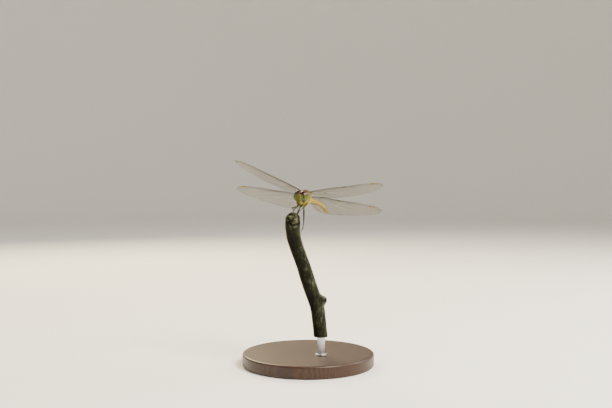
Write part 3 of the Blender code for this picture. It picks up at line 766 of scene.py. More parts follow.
def abdomen_shape(rows=520, sides=150):
    """Rings about the middle line. Their size is the girth, times a dip at each joint, a flare
    before it, a keel at the top, a fold under each side, a flattened belly, and on the first rings
    a keel across."""
    places = np.linspace(0.0, RING_ENDS[-1] - 0.10, rows)
    line, _, upward, left = abdomen_line(places)
    across, lift = round_profile(sides, 2.1)
    width, height = (np.interp(places, GIRTH[:, 0], GIRTH[:, k])[:, None] for k in (1, 2))
    places = places[:, None]
    ring = np.searchsorted(RING_ENDS, places, side="right") - 1
    into, left_over = places - RING_ENDS[ring], RING_ENDS[ring + 1] - places
    dip = 0.055 * bell(into, 0.10) + 0.03 * bell(left_over, 0.05)
    flare = 0.030 * bell(left_over - 0.18, 0.16)
    keel = 0.06 * bell(across, 0.10) * (lift > 0)
    fold = 0.09 * bell(lift + 0.62, 0.09) * (lift < 0)
    belly = 0.10 * step(-lift, 0.80, 1.0)
    cross_keel = 0.02 * bell(into - 0.42 * RINGS[ring], 0.05) * (ring < 4)
    size = (1 - dip + flare) * (1 + keel - fold - belly + cross_keel)
    rings = (line[:, None] + (width * across * size)[..., None] * left
             + (height * lift * size)[..., None] * upward[:, None])
    rings = rings + 0.010 * noise(rings, 0.35, 21)[..., None] * (rings - line[:, None])
    spot = xyz(places, across * width, lift * height)
    shades = abdomen_shades(places, ring, into, left_over, across, lift, spot)
    return moved(skin(rings, **shades), on_body)


# %% Abdomen piece
abdomen_chitin = cuticle("chitin_straw_abdomen", "#B09A14", "#80700A", "#0A0703", 0.40, 0.4,
                         rosy="#96740C", light="#CCB828")
add_piece("abdomen_rings", abdomen_shape(), abdomen_chitin, "abdomen_cuticle", "abdomen_front",
          "abdomen_middle", "abdomen_rear")

# %% [markdown]
# ## Tail claspers
# The abdomen ends in two short pointed claspers with a small plate between them. Each is a tube on a
# slightly bowed line, widest near its root.

# %% Claspers
def clasper(side):
    """A tube on a bowed line whose radius rises and then tapers to a point."""
    (end,), (heading,), (up,), left = abdomen_line([RING_ENDS[-1]])
    root = end - heading * 0.55 + 0.30 * side * left + 0.16 * up
    share = np.linspace(0, 1, 40)[:, None]
    line = (root + heading * 1.50 * share + 0.12 * side * left * np.sin(2.4 * share)
            + 0.10 * up * np.sin(math.pi * share))
    shape = tube(line, 0.19 * np.sin(0.5 + 2.45 * share[:, 0]) ** 0.8, 20)
    dark = 0.7 * step(shape["numbers"]["along"], 0.9, 1.4)
    return moved(marked(shape, dark=dark, light=0, rosy=0.3), on_body)


for side, word in SIDES:
    add_piece(f"clasper_{word}", clasper(side), abdomen_chitin, "abdomen_cuticle", f"cercus_{word}")
(end,), (heading,), (up,), _ = abdomen_line([RING_ENDS[-1]])
last_plate = plate(end - heading * 0.12 + up * 0.02, (0.34, 0.42, 0.30), rows=16, sides=24)
add_piece("tail_plate", moved(marked(last_plate, dark=0.25, light=0, rosy=0.5), on_body),
          abdomen_chitin, "abdomen_cuticle")

# %% [markdown]
# ## Wing planform
# A wing is a sheet of clear chitin a few thousandths of a millimetre thick, stiffened by veins and
# folded a little along them like a fan. It is worked out flat: a distance from the root, and a share
# of the way from the front edge to the hind edge. Long veins are curves of that share, so they fit
# the outline at any width. A second step lifts the folds, twists the wing and sets it on the body.

# %% Outlines, veins and spreads
# Lengths and heights of the edges are in millimetres and shares of the span; "amber" is the share
# of the span that is washed with amber, and "spot" the shares between which the wing spot lies.
FORE = {
    "length": 29.6, "root": FORE_ROOT, "chord_angle": 28.0, "amber": 0.05,
    "lead": ((0.00, 0.000), (0.15, 0.010), (0.32, 0.012), (0.50, 0.004), (0.70, 0.008),
             (0.86, 0.002), (0.95, -0.016), (0.988, -0.042), (1.00, -0.078)),
    "trail": ((0.00, -0.045), (0.06, -0.098), (0.17, -0.180), (0.32, -0.222), (0.50, -0.232),
              (0.68, -0.214), (0.84, -0.178), (0.94, -0.136), (1.00, -0.078)),
    "spot": (0.840, 0.930),
    # Each long vein: how far its fold stands up, then pairs of span share and chord share.
    "veins": {
        "subcosta": (-0.16, (0, .28), (.06, .13), (.17, .072), (.32, .058), (.45, .045), (.50, 0)),
        "radius": (0.10, (0, .50), (.06, .25), (.17, .135), (.32, .108), (.5, .095), (.7, .098),
                   (.84, .150), (.93, .195), (.985, .45)),
        "sector_1": (-0.08, (.13, .21), (.25, .165), (.40, .152), (.5, .148), (.7, .165),
                     (.84, .225), (.93, .32), (.99, .64)),
        "sector_2": (0.02, (.53, .150), (.60, .205), (.75, .29), (.87, .43), (.96, .78), (.98, 1)),
        "between_2": (0.07, (.36, .155), (.45, .240), (.6, .345), (.75, .48), (.87, .72), (.93, 1)),
        "sector_3": (-0.06, (.30, .162), (.42, .310), (.55, .45), (.68, .66), (.77, .87), (.81, 1)),
        "media_1": (0.07, (.13, .28), (.22, .31), (.33, .36), (.45, .49), (.57, .68), (.67, .90),
                    (.71, 1)),
        "media_2": (-0.08, (0, .68), (.06, .48), (.13, .40), (.185, .43), (.225, .56), (.33, .70),
                    (.43, .87), (.50, 1)),
        "anal": (0.06, (0, .86), (.06, .74), (.13, .68), (.20, .70), (.27, .85), (.32, 1)),
    },
    "struts": (((.125, .155), (.13, .40)), ((.185, .30), (.222, .315)), ((.185, .30), (.213, .53)),
               ((.222, .315), (.213, .53)), ((.50, 0), (.502, .148)), ((.502, .148), (.512, .155)),
               ((.06, .0), (.062, .25)), ((.20, .0), (.205, .125))),
}
HIND = {
    "length": 28.9, "root": HIND_ROOT, "chord_angle": 37.0, "amber": 0.13,
    "lead": ((0.00, 0.000), (0.14, 0.010), (0.28, 0.012), (0.42, 0.004), (0.64, 0.008),
             (0.84, 0.000), (0.94, -0.020), (0.985, -0.048), (1.00, -0.086)),
    "trail": ((0.00, -0.085), (0.030, -0.215), (0.105, -0.305), (0.22, -0.322), (0.42, -0.302),
              (0.64, -0.256), (0.82, -0.204), (0.94, -0.148), (1.00, -0.086)),
    "spot": (0.838, 0.926),
    "veins": {
        "subcosta": (-0.16, (0, .12), (.03, .065), (.105, .045), (.22, .042), (.36, .032), (.42, 0)),
        "radius": (0.10, (0, .24), (.03, .12), (.105, .085), (.22, .072), (.42, .066), (.64, .082),
                   (.84, .145), (.93, .190), (.985, .45)),
        "sector_1": (-0.08, (.12, .125), (.25, .110), (.42, .106), (.64, .14), (.84, .220),
                     (.93, .32), (.99, .64)),
        "sector_2": (0.02, (.45, .107), (.55, .170), (.72, .27), (.87, .43), (.95, .78), (.975, 1)),
        "between_2": (0.07, (.30, .108), (.42, .205), (.6, .325), (.75, .48), (.86, .72), (.92, 1)),
        "sector_3": (-0.06, (.26, .110), (.38, .240), (.52, .39), (.66, .62), (.75, .86), (.79, 1)),
        "media_1": (0.07, (.12, .18), (.17, .195), (.30, .25), (.42, .37), (.54, .56), (.64, .80),
                    (.70, 1)),
        "media_2": (-0.08, (0, .38), (.05, .21), (.11, .225), (.14, .275), (.25, .41), (.38, .60),
                    (.50, .84), (.56, 1)),
        "cubitus": (0.05, (.14, .285), (.22, .47), (.32, .72), (.40, .91), (.44, 1)),
        "anal_1": (-0.05, (0, .62), (.05, .37), (.10, .37), (.145, .49), (.19, .68), (.235, .88),
                   (.265, 1)),
        "anal_2": (0.03, (.02, .66), (.06, .66), (.10, .82), (.13, 1)),
    },
    "struts": (((.115, .082), (.12, .222)), ((.135, .185), (.165, .195)), ((.135, .185), (.14, .275)),
               ((.165, .195), (.14, .275)), ((.42, 0), (.422, .106)), ((.422, .106), (.432, .108)),
               ((.05, .0), (.052, .12)), ((.155, .0), (.16, .08)), ((.19, .68), (.215, .62)),
               ((.215, .62), (.235, .70)), ((.235, .70), (.235, .88))),
}
SPREADS = {"left": ((3.0, 15.2), (-1.5, 0.0)), "right": ((11.0, 16.4), (0.0, 0.2))}
WASHOUT, ARCH, ACROSS = math.radians(2.0), 0.006, np.linspace(0, 1, 500)


def edges(wing):
    """Height of the front and the hind edge over the root line, at 500 shares of the span."""
    lead, trail = (smooth_curve(wing[key], 600) for key in ("lead", "trail"))
    return [np.interp(ACROSS, line[:, 0], line[:, 1]) * wing["length"] for line in (lead, trail)]


def vein_shares(wing):
    """Chord share of every long vein at 500 shares of the span, front to back. Before its start a
    vein lies on the one in front of it, and after its end it lies on the hind edge."""
    rows = [0 * ACROSS]
    for _, *points in wing["veins"].values():
        line = smooth_curve(points, 300)
        share = np.interp(ACROSS, line[:, 0], line[:, 1])
        share = np.where(ACROSS < points[0][0], rows[-1], share)
        after = points[-1][1] if points[-1][1] in (0, 1) else share[-1]
        share = np.where(ACROSS > points[-1][0], after, share)
        rows.append(np.clip(np.maximum(share, rows[-1]), 0, 1))
    return np.array(rows + [1 + 0 * ACROSS])


for wing in (FORE, HIND):
    wing["edges"], wing["shares"] = edges(wing), vein_shares(wing)
    print("chord at the middle", round(float(np.ptp([e[250] for e in wing["edges"]])), 2), "mm")

# %% [markdown]
# ## From flat to spread
# The fold at a point lies between the folds of the veins before and behind it. It is deepest near
# the root, where the wing is stiffest. Then the hind edge drops by a slight twist towards the tip,
# the span arches by a hair, and three directions at the root carry the sheet to the body.

# %% Place on the wing
def flat_place(wing, span, chord):
    """Millimetres along and across the wing, from its two shares."""
    front, back = (np.interp(span, ACROSS, edge) for edge in wing["edges"])
    return span * wing["length"], front * (1 - chord) + back * chord


def fold_height(wing, span, chord):
    """Height of the folded sheet: linear between one vein and the next, less towards the tip."""
    heights = [0.0] + [vein[0] for vein in wing["veins"].values()] + [0.0]
    before = np.interp(span, ACROSS, wing["shares"][0])
    lift = 0.0 * span + 0.0 * chord
    for k in range(1, len(heights)):
        behind = np.interp(span, ACROSS, wing["shares"][k])
        part = np.clip((chord - before) / np.maximum(behind - before, 1e-6), 0, 1)
        inside = (chord > before) & (chord <= behind)
        lift = np.where(inside, heights[k - 1] * (1 - part) + heights[k] * part, lift)
        before = behind
    return lift * (1 - 0.55 * span) * step(span, 0.0, 0.06) * step(span, 1.0, 0.9)


def wing_setter(wing, side, sweep, rise):
    """Gives the function that carries a span share, a chord share and a lift to the body's frame.
    Sweep and rise aim the span; the chord is turned about it by the wing's own angle."""
    sweep, rise, turn = np.radians((sweep, rise, wing["chord_angle"]))
    span_way = np.array((math.sin(sweep) * math.cos(rise),
                         side * math.cos(sweep) * math.cos(rise), math.sin(rise)))
    level = unit(np.array((1.0, 0, 0)) - span_way[0] * span_way)
    normal = np.cross(level, span_way) * side
    upper, chord_way = swung(normal, level, turn)
    root = wing["root"] * (1, side, 1)

    def place(span, chord, lift=0.0):
        x, y = flat_place(wing, span, chord)
        twist = -WASHOUT * span
        z = (fold_height(wing, span, chord) + lift
             + ARCH * wing["length"] * np.sin(math.pi * np.clip(span, 0, 1)))
        return (root + x[..., None] * span_way + (y * np.cos(twist))[..., None] * chord_way
                + (z + y * np.sin(twist))[..., None] * upper)
    place.upper = upper
    return place


WINGS = {f"{kind}wing_{word}": (wing, wing_setter(wing, side, *SPREADS[word][number]))
         for side, word in SIDES
         for number, (kind, wing) in enumerate((("fore", FORE), ("hind", HIND)))}
tip = WINGS["forewing_left"][1](np.ones(1), np.zeros(1))
print("left forewing tip at", np.round(on_body(tip), 1), "mm")

# %% [markdown]
# ## Wing film
# The film is made as a closed sheet 0.04 mm thick, so that light meets two faces as it does in life.
# It is clear with a faint amber wash near the root. Its shader is one surface that lets most light
# through unchanged and shows the rest as gloss, because film this thin hardly bends light.

# %% Film shape and material
def sheet(place, span, chord, half, **numbers):
    """Upper and lower sheets on a grid of span and chord, half a thickness either way, joined round
    the rim: every row is one ring that runs over the top and back underneath."""
    span, chord, half = np.broadcast_arrays(span, chord, half)
    top, low = (place(span, chord, sign * half) for sign in (1, -1))
    folded = {name: np.concatenate([v, v[:, ::-1]], 1) for name, v in numbers.items()}
    return moved(skin(np.concatenate([top, low[:, ::-1]], 1), **folded), on_body)


def film_shape(wing, place, rows=300, columns=72, thick=0.04):
    """The clear sheet. Its rows lie closer near the root and the tip, and its columns closer near
    the front edge."""
    share = np.linspace(0, 1, rows)
    span = (0.5 - 0.5 * np.cos(math.pi * share)) * 0.35 + share * 0.65
    span = (0.002 + 0.996 * span)[:, None]
    chord = np.linspace(0, 1, columns)[None] ** 1.35
    amber = step(span, wing["amber"], 0.0) * (1 - 0.5 * chord)
    return sheet(place, span, chord, thick / 2, amber=amber)


film, tree, shader = new_material("clear_chitin_film", {
    "Roughness": 0.14, "IOR": 1.56, "Alpha": 0.10, "Specular IOR Level": 0.6})
place_on = carried(tree, "place", "Vector")
tint = mixed(tree, grains(tree, place_on, 0.6, 2.0), "#B5A77C", "#988A60")
coloured(tree, shader, mixed(tree, carried(tree, "amber"), tint, "#B0701E"))
embossed(tree, shader, grains(tree, place_on, 1.1, 2.0), 0.35, 0.05)

for name, (wing, place) in WINGS.items():
    add_piece(f"film_{name}", film_shape(wing, place), film, "wing_membrane", name, crease=85)

# %% [markdown]
# ## Cross veins
# Between the long veins the film is divided into some hundreds of small cells. Cells that crowd one
# another share out their space, and the borders they settle on are a Voronoi pattern, as in soap
# froth. So seeds are strewn in each field and moved over and over to the middles of their cells, and
# the borders between them become the cross veins. In a narrow field these turn into plain rungs.

# %% Seeds settled in their fields
def settle(samples, weight, count, rng, rounds=16):
    """Seeds drawn from the samples by weight, then moved to the weighted middle of the samples that
    lie nearest to each, a number of times over."""
    seeds = samples[rng.choice(len(samples), count, replace=False, p=weight / weight.sum())]
    for _ in range(rounds):
        nearest = ((samples[:, None] - seeds[None]) ** 2).sum(-1).argmin(1)
        total = np.bincount(nearest, weight, count)
        middle = np.stack([np.bincount(nearest, weight * samples[:, k], count) for k in (0, 1)], 1)
        seeds = np.where(total[:, None] > 0, middle / np.maximum(total, 1e-9)[:, None], seeds)
    return seeds


def borders(seeds):
    """Borders of the Voronoi cells of the seeds: each side that two Delaunay triangles share gives
    one border, from the centre of the circle round one triangle to that of the other."""
    middle, reach = seeds.mean(0), 4 * np.ptp(seeds, axis=0).max() + 5
    far = middle + reach * np.stack(round_profile(16), 1)
    points, _, faces, *_ = delaunay_2d_cdt([Vector(p) for p in np.vstack([seeds, far])], [], [],
                                           0, 1e-7)
    points, faces = np.array([p[:] for p in points]), np.array([f for f in faces if len(f) == 3])
    a, b, c = (points[faces[:, k]] for k in range(3))
    side_b, side_c = b - a, c - a
    double = 2 * (side_b[:, 0] * side_c[:, 1] - side_b[:, 1] * side_c[:, 0])
    square_b, square_c = (side_b ** 2).sum(1), (side_c ** 2).sum(1)
    centre = a + np.stack([side_c[:, 1] * square_b - side_b[:, 1] * square_c,
                           side_b[:, 0] * square_c - side_c[:, 0] * square_b], 1) / double[:, None]
    sides = np.sort(np.concatenate([faces[:, [0, 1]], faces[:, [1, 2]], faces[:, [2, 0]]]), axis=1)
    owner = np.tile(np.arange(len(faces)), 3)
    order = np.lexsort((sides[:, 1], sides[:, 0]))
    same = (sides[order][1:] == sides[order][:-1]).all(1)
    return centre[owner[order][:-1][same]], centre[owner[order][1:][same]]


# %% Cross veins of one wing
NARROW, RUNG_SPACE, WIDE_CELL = 0.75, 1.15, 0.42   # width, spacing and area of a field's cells
SPAN_SAMPLES, CHORD_SAMPLES, TRACE = 320, 110, 41
FIRST_SPAN, LAST_SPAN, LEEWAY = 0.015, 0.99, 0.002


def trimmed(wing, before, behind, one, two):
    """Borders cut off where they leave the field between two veins. Each is traced in even steps,
    and its first and last step inside are its new ends, as shares of span and chord."""
    share = np.linspace(0, 1, TRACE)[None, :, None]
    trace = one[:, None] * (1 - share) + two[:, None] * share
    at_span = trace[..., 0] / wing["length"]
    front, back = (np.interp(at_span, ACROSS, edge) for edge in wing["edges"])
    at_chord = (front - trace[..., 1]) / np.maximum(front - back, 1e-3)
    keep = ((at_chord >= np.interp(at_span, ACROSS, before) - LEEWAY)
            & (at_chord <= np.interp(at_span, ACROSS, behind) + LEEWAY)
            & (at_span > 0.01) & (at_span < 0.998))
    row, some = np.arange(len(keep)), keep.sum(1) > 1
    first, last = keep.argmax(1), TRACE - 1 - keep[:, ::-1].argmax(1)
    return [np.stack([at_span[row, at], at_chord[row, at]], 1)[some] for at in (first, last)]


def cross_veins(wing, seed):
    """Borders in every field between two long veins, cut off where they leave the field. A narrow
    field gets rungs at their own spacing, and a wide one cells of one area, in square mm."""
    rng = np.random.default_rng(seed)
    span, chord = np.meshgrid(np.linspace(FIRST_SPAN, LAST_SPAN, SPAN_SAMPLES),
                              np.linspace(0.003, 0.997, CHORD_SAMPLES), indexing="ij")
    x, y = flat_place(wing, span, chord)
    height = np.interp(span, ACROSS, wing["edges"][0] - wing["edges"][1])
    sampled = wing["length"] * (LAST_SPAN - FIRST_SPAN)
    area = height / CHORD_SAMPLES * sampled / SPAN_SAMPLES
    pairs = []
    for before, behind in zip(wing["shares"][:-1], wing["shares"][1:]):
        low, high = np.interp(span, ACROSS, before), np.interp(span, ACROSS, behind)
        inside = (chord > low) & (chord < high)
        gap = ((high - low) * height)[inside]
        if inside.sum() < 12:
            continue
        cell = np.where(gap < NARROW, np.maximum(gap, 0.22) * RUNG_SPACE, WIDE_CELL)
        count = max(int((area[inside] / cell).sum()), 2)
        samples = np.stack([x[inside], y[inside]], 1)
        count = min(count, len(samples) // 3)
        seeds = settle(samples, area[inside] / cell ** 2, count, rng)
        if len(seeds) < 3:
            continue
        pairs.append(trimmed(wing, before, behind, *borders(seeds)))
    return [np.vstack(ends) for ends in zip(*pairs)]


for number, wing in enumerate((FORE, HIND)):
    wing["cross"] = cross_veins(wing, 40 + number)
    print("cross veins:", len(wing["cross"][0]))

# %% [markdown]
# ## Veins as rods
# The long veins are tubes that thin towards the tip; the front edge is the stoutest. The cross veins
# are four-sided bars, since there are thousands and each is thinner than a hair. A real cross vein is
# 0.04 mm across; these are 0.06 to 0.07 mm, so that they show at all at life size.

# %% Vein shapes
LONG_VEIN, STOUTEST = 0.062, {"subcosta": 0.085, "radius": 0.120}   # radii at the root


def bars(starts, ends, radius, upper):
    """Four-sided bars, all at once: each end has four corners, on the upward way and on the way
    square to it and to the bar, and two faces close the ends."""
    ahead = unit(ends - starts)
    aside = unit(np.cross(ahead, upper))
    corners = [end + radius[:, None] * way for end in (starts, ends)
               for way in (aside, upper, -aside, -upper)]
    points = np.stack(corners, 1).reshape(-1, 3)
    box = np.array(((0, 1, 5, 4), (1, 2, 6, 5), (2, 3, 7, 6), (3, 0, 4, 7), (3, 2, 1, 0), (4, 5, 6, 7)))
    faces = (np.arange(len(starts))[:, None, None] * 8 + box).reshape(-1, 4)
    one = signed_volume(points[:8] - points[0], [box])
    return marked({"points": points, "faces": [faces if one > 0 else faces[:, ::-1]]},
                  stout=np.repeat(radius, 8))


def vein_shapes(wing, place):
    """Tubes along the edges and the long veins, struts, and bars for the cross veins."""
    shapes = []

    def add(span, chord, radii, sides=8):
        stout = np.append(np.repeat(radii, sides), (radii[0], radii[-1]))
        shapes.append(marked(tube(place(span, chord), radii, sides, place.upper), stout=stout))

    span = np.linspace(0.003, 0.997, 220)
    add(span, 0 * span, 0.135 - 0.075 * span, 10)
    add(span, 1 + 0 * span, 0.060 - 0.020 * span)
    for share, (name, (_, *points)) in zip(wing["shares"][1:], wing["veins"].items()):
        stout = STOUTEST.get(name, LONG_VEIN)
        span = np.linspace(points[0][0] + 0.002, points[-1][0], 160)
        add(span, np.interp(span, ACROSS, share), stout * (1 - 0.021 / LONG_VEIN * span))
    for one, two in wing["struts"]:
        share = np.linspace(0, 1, 12)
        add(one[0] + (two[0] - one[0]) * share, one[1] + (two[1] - one[1]) * share, 0.055 + 0 * share)
    starts, ends = wing["cross"]
    middle = (starts + ends) / 2
    for a, b in ((starts, middle), (middle, ends)):
        radius = 0.036 - 0.008 * a[:, 0]
        shapes.append(bars(place(a[:, 0], a[:, 1]), place(b[:, 0], b[:, 1]), radius, place.upper))
    return moved(join(shapes), on_body)


# %% Vein material and pieces
vein_chitin, tree, shader = new_material("chitin_brown_vein", {"Roughness": 0.5, "IOR": 1.56,
                                                               "Specular IOR Level": 0.2})
fleck = grains(tree, carried(tree, "place", "Vector"), 4.0, 4.0)
browns = mixed(tree, fleck, "#241809", "#130C05")
coloured(tree, shader, mixed(tree, ranged(tree, carried(tree, "stout"), 0.03, 0.11), browns, "#33220B"))
embossed(tree, shader, fleck, 0.3, 0.02)

for name, (wing, place) in WINGS.items():
    add_piece(f"veins_{name}", vein_shapes(wing, place), vein_chitin, "wing_membrane")

# %% [markdown]
# ## Wing spots
# Near each tip one long cell is filled in: an ochre plate with dark edges, heavier than the film
# round it, which keeps the wing from fluttering. It is a thin pad between the front edge and the
# second stout vein.

# %% Wing spots
def spot_shape(wing, place, rows=40, columns=18, thick=0.13):
    """A pad whose thickness falls off at its dark rim."""
    share = np.linspace(0, 1, rows)[:, None]
    part = np.linspace(0, 1, columns)[None]
    slant = 0.008 * (part - 0.5)
    span = wing["spot"][0] + (wing["spot"][1] - wing["spot"][0]) * share + slant
    chord = np.interp(span, ACROSS, wing["shares"][2]) * part
    rim = np.minimum(np.minimum(share, 1 - share) * 5, np.minimum(part, 1 - part) * 3)
    half = thick / 2 * step(rim, -0.25, 0.4)
    return sheet(place, span, chord, half, dark=step(rim, 0.28, 0.10))


spot_chitin = cuticle("chitin_ochre_wing_spot", "#AE8408", "#865E06", "#100802", 0.4, 0.25)
for name, (wing, place) in WINGS.items():
    add_piece(f"spot_{name}", spot_shape(wing, place), spot_chitin, "wing_membrane")

# %% [markdown]
# ## Footholds
# The legs hang from the thorax and close on the twig, so their feet have to be found on the twig
# itself. The twig leans in one upright plane. A foothold lies either on its domed end or on its
# side, and there the way out of the bark is known too, so that a foot can rest just clear of it.

# %% The twig's line and its footholds
LEAN, TWIG_DEPTH = math.radians(16.0), -6.0
KNOB_ACROSS, KNOB_RIM, KNOB_RADIUS, KNOB_DOME, FOOT_CLEAR = -6.0, 58.3, 2.84, 2.42, 0.32
TWIG = smooth_curve((  # place along its lean, height, radius
    (4.85, 12.3, 2.70), (4.17, 18.8, 2.74), (3.65, 22.7, 2.80), (2.80, 25.9, 2.92),
    (1.50, 29.6, 2.92), (-0.18, 34.6, 2.93), (-1.88, 40.0, 2.88), (-3.75, 45.0, 2.88),
    (-5.40, 50.0, 2.84), (-5.95, 54.0, 2.80), (-6.00, 56.4, 2.82), (-6.00, 58.3, 2.84)), 400)
TWIG_AXES = np.array(((math.cos(LEAN), math.sin(LEAN), 0), (-math.sin(LEAN), math.cos(LEAN), 0),
                      (0, 0, 1)))


def on_twig(points):
    """Points given along the lean, behind its plane and upwards, in millimetres over the floor."""
    return (np.asarray(points, float) + (0, TWIG_DEPTH, 0)) @ TWIG_AXES


def knob_hold(across, depth):
    """A point just over the ellipsoid that ends the twig, and the way out of it there."""
    radius, dome = KNOB_RADIUS + FOOT_CLEAR, KNOB_DOME + FOOT_CLEAR
    height = dome * math.sqrt(1 - (across ** 2 + depth ** 2) / radius ** 2)
    way = unit((across / radius ** 2, depth / radius ** 2, height / dome ** 2))
    return np.array((KNOB_ACROSS + across, depth, KNOB_RIM + height)), way


def stem_hold(turn, height):
    """A point on the side of the twig at a turn from its lean, and the way out of it there."""
    across, radius = (np.interp(height, TWIG[:, 1], TWIG[:, k]) for k in (0, 2))
    way = np.array((math.cos(math.radians(turn)), math.sin(math.radians(turn)), 0.0))
    return np.array((across, 0, height)) + (radius + FOOT_CLEAR) * way, way


LEGS = {  # root, hip and knee in the dragonfly's frame; foothold; ankle from it, in the twig's frame
    "front_left": ((3.40, 0.55, -1.30), (3.70, 0.68, -2.75), (6.20, 0.70, -4.25),
                   knob_hold(1.4, -1.6), (0.60, 0.30, 0.75)),
    "front_right": ((3.40, -0.55, -1.30), (3.70, -0.68, -2.75), (6.20, -0.90, -4.30),
                    knob_hold(-0.2, -1.9), (0.55, 0.30, 0.80)),
    "mid_left": ((2.45, 0.70, -2.20), (2.45, 0.95, -3.30), (3.15, 2.60, -1.60),
                 knob_hold(1.7, 0.4), (1.80, 0.00, 1.15)),
    "mid_right": ((2.45, -0.70, -2.20), (2.45, -0.95, -3.30), (1.15, -4.00, -4.35),
                  knob_hold(-0.6, 1.2), (0.90, 0.10, 0.65)),
    "hind_left": ((1.20, 0.60, -2.40), (1.05, 0.82, -3.60), (-0.45, 1.25, -8.80),
                  stem_hold(28, 52.8), (0.80, 0.50, 0.90)),
    "hind_right": ((1.20, -0.60, -2.40), (1.05, -0.82, -3.60), (-0.70, -2.20, -8.60),
                   stem_hold(95, 52.6), (0.00, 0.90, 0.90))}
print("a front foot rests at", np.round(on_twig(LEGS["front_left"][3][0]), 2), "mm")

# %% [markdown]
# ## Bristles
# A dragonfly's legs are a basket of stiff spines, and its thorax wears a thin fur. Hairs are
# made all at once as arrays: each is a three-sided needle with a bend, ten triangles in all, which is
# as little as a closed and bent needle can be.

# %% Needles
def needles(roots, ways, lengths, radii, bend):
    """Each needle has a triangle at its root, a thinner one at 0.55 of its length and a point. The
    bend, a way for each needle, is added at the point and a quarter of it at the middle."""
    ways, lengths = unit(ways), np.asarray(lengths, float)[:, None]
    aside = unit(np.cross(ways, (0.31, 0.17, 0.93)))
    other = np.cross(ways, aside)
    turn = full_turn(3)
    ring = np.cos(turn)[:, None] * aside[:, None] + np.sin(turn)[:, None] * other[:, None]
    radii = np.broadcast_to(radii, len(roots))[:, None, None]
    middle = roots + ways * lengths * 0.55 + bend * lengths * 0.25
    points = np.concatenate([roots[:, None] + radii * ring, middle[:, None] + 0.62 * radii * ring,
                             (roots + ways * lengths + bend * lengths)[:, None]], 1)
    count = np.arange(len(roots))[:, None, None] * 7
    quads = np.array(((0, 1, 4, 3), (1, 2, 5, 4), (2, 0, 3, 5)))
    fans = np.array(((2, 1, 0), (3, 4, 6), (4, 5, 6), (5, 3, 6)))
    faces = [(count + quads).reshape(-1, 4), (count + fans).reshape(-1, 3)]
    return {"points": points.reshape(-1, 3), "faces": faces, "numbers": {}}


# %% [markdown]
# ## Legs
# From the body outwards a leg has a hip, a small ring, a long thigh, a shin and a foot of three
# short joints with two claws. They are tubes with their own swelling, laid end to end. Two rows of
# spines stand on the underside of thigh and shin. The cuticle is black with a dull yellow line.

# %% One leg
def limb(start, end, profile, rows=44, sides=16):
    """A straight tube with radii read from pairs of share and radius, and with both ends rounded.
    Its rings lie closer near its ends. A stripe runs along it."""
    share = 0.5 - 0.5 * np.cos(math.pi * np.linspace(0, 1, rows))
    line = start + (end - start) * share[:, None]
    known = np.array(profile)
    radius = np.interp(share, known[:, 0], known[:, 1])
    long = np.linalg.norm(end - start)
    edge = np.minimum(share, 1 - share) * long / radius
    radius = radius * np.sqrt(1 - np.clip(1 - edge, 0, 1) ** 2) + 0.004
    shape = tube(line, radius, sides, (end - start)[[1, 2, 0]])
    return marked(shape, stripe=step(shape["numbers"]["turn"], 0.80, 0.95), dark=0)


def spines(start, end, count, long, radius, rng):
    """Two rows of needles under a joint, splayed to its two sides and leaning towards its end."""
    ahead = unit(end - start)
    down = unit(np.array((0, 0, -1.0)) - ahead * -ahead[2])
    aside = np.cross(ahead, down)
    share = np.linspace(0.12, 0.95, count)
    shapes = []
    for side in (1, -1):
        jitter = rng.uniform(-0.03, 0.03, count)
        splay = down * 0.55 + aside * side * 0.8 + ahead * 0.55
        ways = splay + rng.normal(0, 0.06, (count, 3))
        roots = start + (end - start) * (share + jitter)[:, None] + radius * 0.6 * unit(ways)
        long_here = long * (0.75 + 0.25 * np.sin(math.pi * share)) * rng.uniform(0.85, 1.1, count)
        shape = needles(roots, ways, long_here, 0.021, np.tile(ahead * 0.12, (count, 1)))
        shapes.append(marked(shape, stripe=0, dark=1))
    return shapes


def leg_shape(name, rng):
    """All joints of a leg, its spines and its claws."""
    root, hip, knee, (toe, out), ankle = LEGS[name]
    root, hip, knee = (on_body(point) for point in (root, hip, knee))
    ankle, way = on_twig(toe + np.array(ankle)), out @ TWIG_AXES
    toe = on_twig(toe - 0.20 * out)
    thick = 0.9 if name.startswith("front") else 1.0
    ring = hip + unit(knee - hip) * 0.42
    shapes = [limb(root, hip, ((0, .46), (.5, .42), (.85, .34), (1, .30))),
              limb(hip - unit(knee - hip) * 0.12, ring, ((0, .27), (.6, .29), (1, .24)), 20),
              limb(ring - unit(knee - hip) * 0.06, knee,
                   ((0, .22), (.18, .33 * thick), (.45, .32 * thick), (.8, .26), (.95, .26), (1, .22))),
              limb(knee, ankle, ((0, .20), (.06, .22), (.3, .20), (.8, .18), (.97, .18), (1, .16)))]
    shares = (0, 0.22, 0.50, 1.0)
    sag = [ankle + (toe - ankle) * s - way * 0.10 * math.sin(math.pi * s) for s in shares]
    shapes += [limb(one, two, ((0, .085), (.5, .105), (.9, .125), (1, .11)), 18, 12)
               for one, two in zip(sag[:-1], sag[1:])]
    ahead = unit(toe - sag[-2])
    aside = unit(np.cross(ahead, way))
    for side in (1, -1):
        bends = [ahead * along + aside * side * out_by + way * up
                 for along, out_by, up in ((-0.06, 0, 0), (0.14, 0.08, 0.05), (0.26, 0.14, -0.10))]
        taper = 0.045 * (1 - np.linspace(0, 1, 14)) ** 0.7 + 0.006
        claw = tube(smooth_curve(toe + np.array(bends), 14), taper, 8, way)
        shapes.append(marked(claw, stripe=0, dark=1))
    thigh_count, shin_count = (int(np.linalg.norm(span) / space)
                               for span, space in ((knee - ring, 0.36), (ankle - knee, 0.42)))
    shapes += spines(ring, knee, thigh_count, 0.34, 0.2, rng)
    shapes += spines(knee, ankle, max(shin_count, 3), 0.56, 0.12, rng)
    return moved(join(shapes))


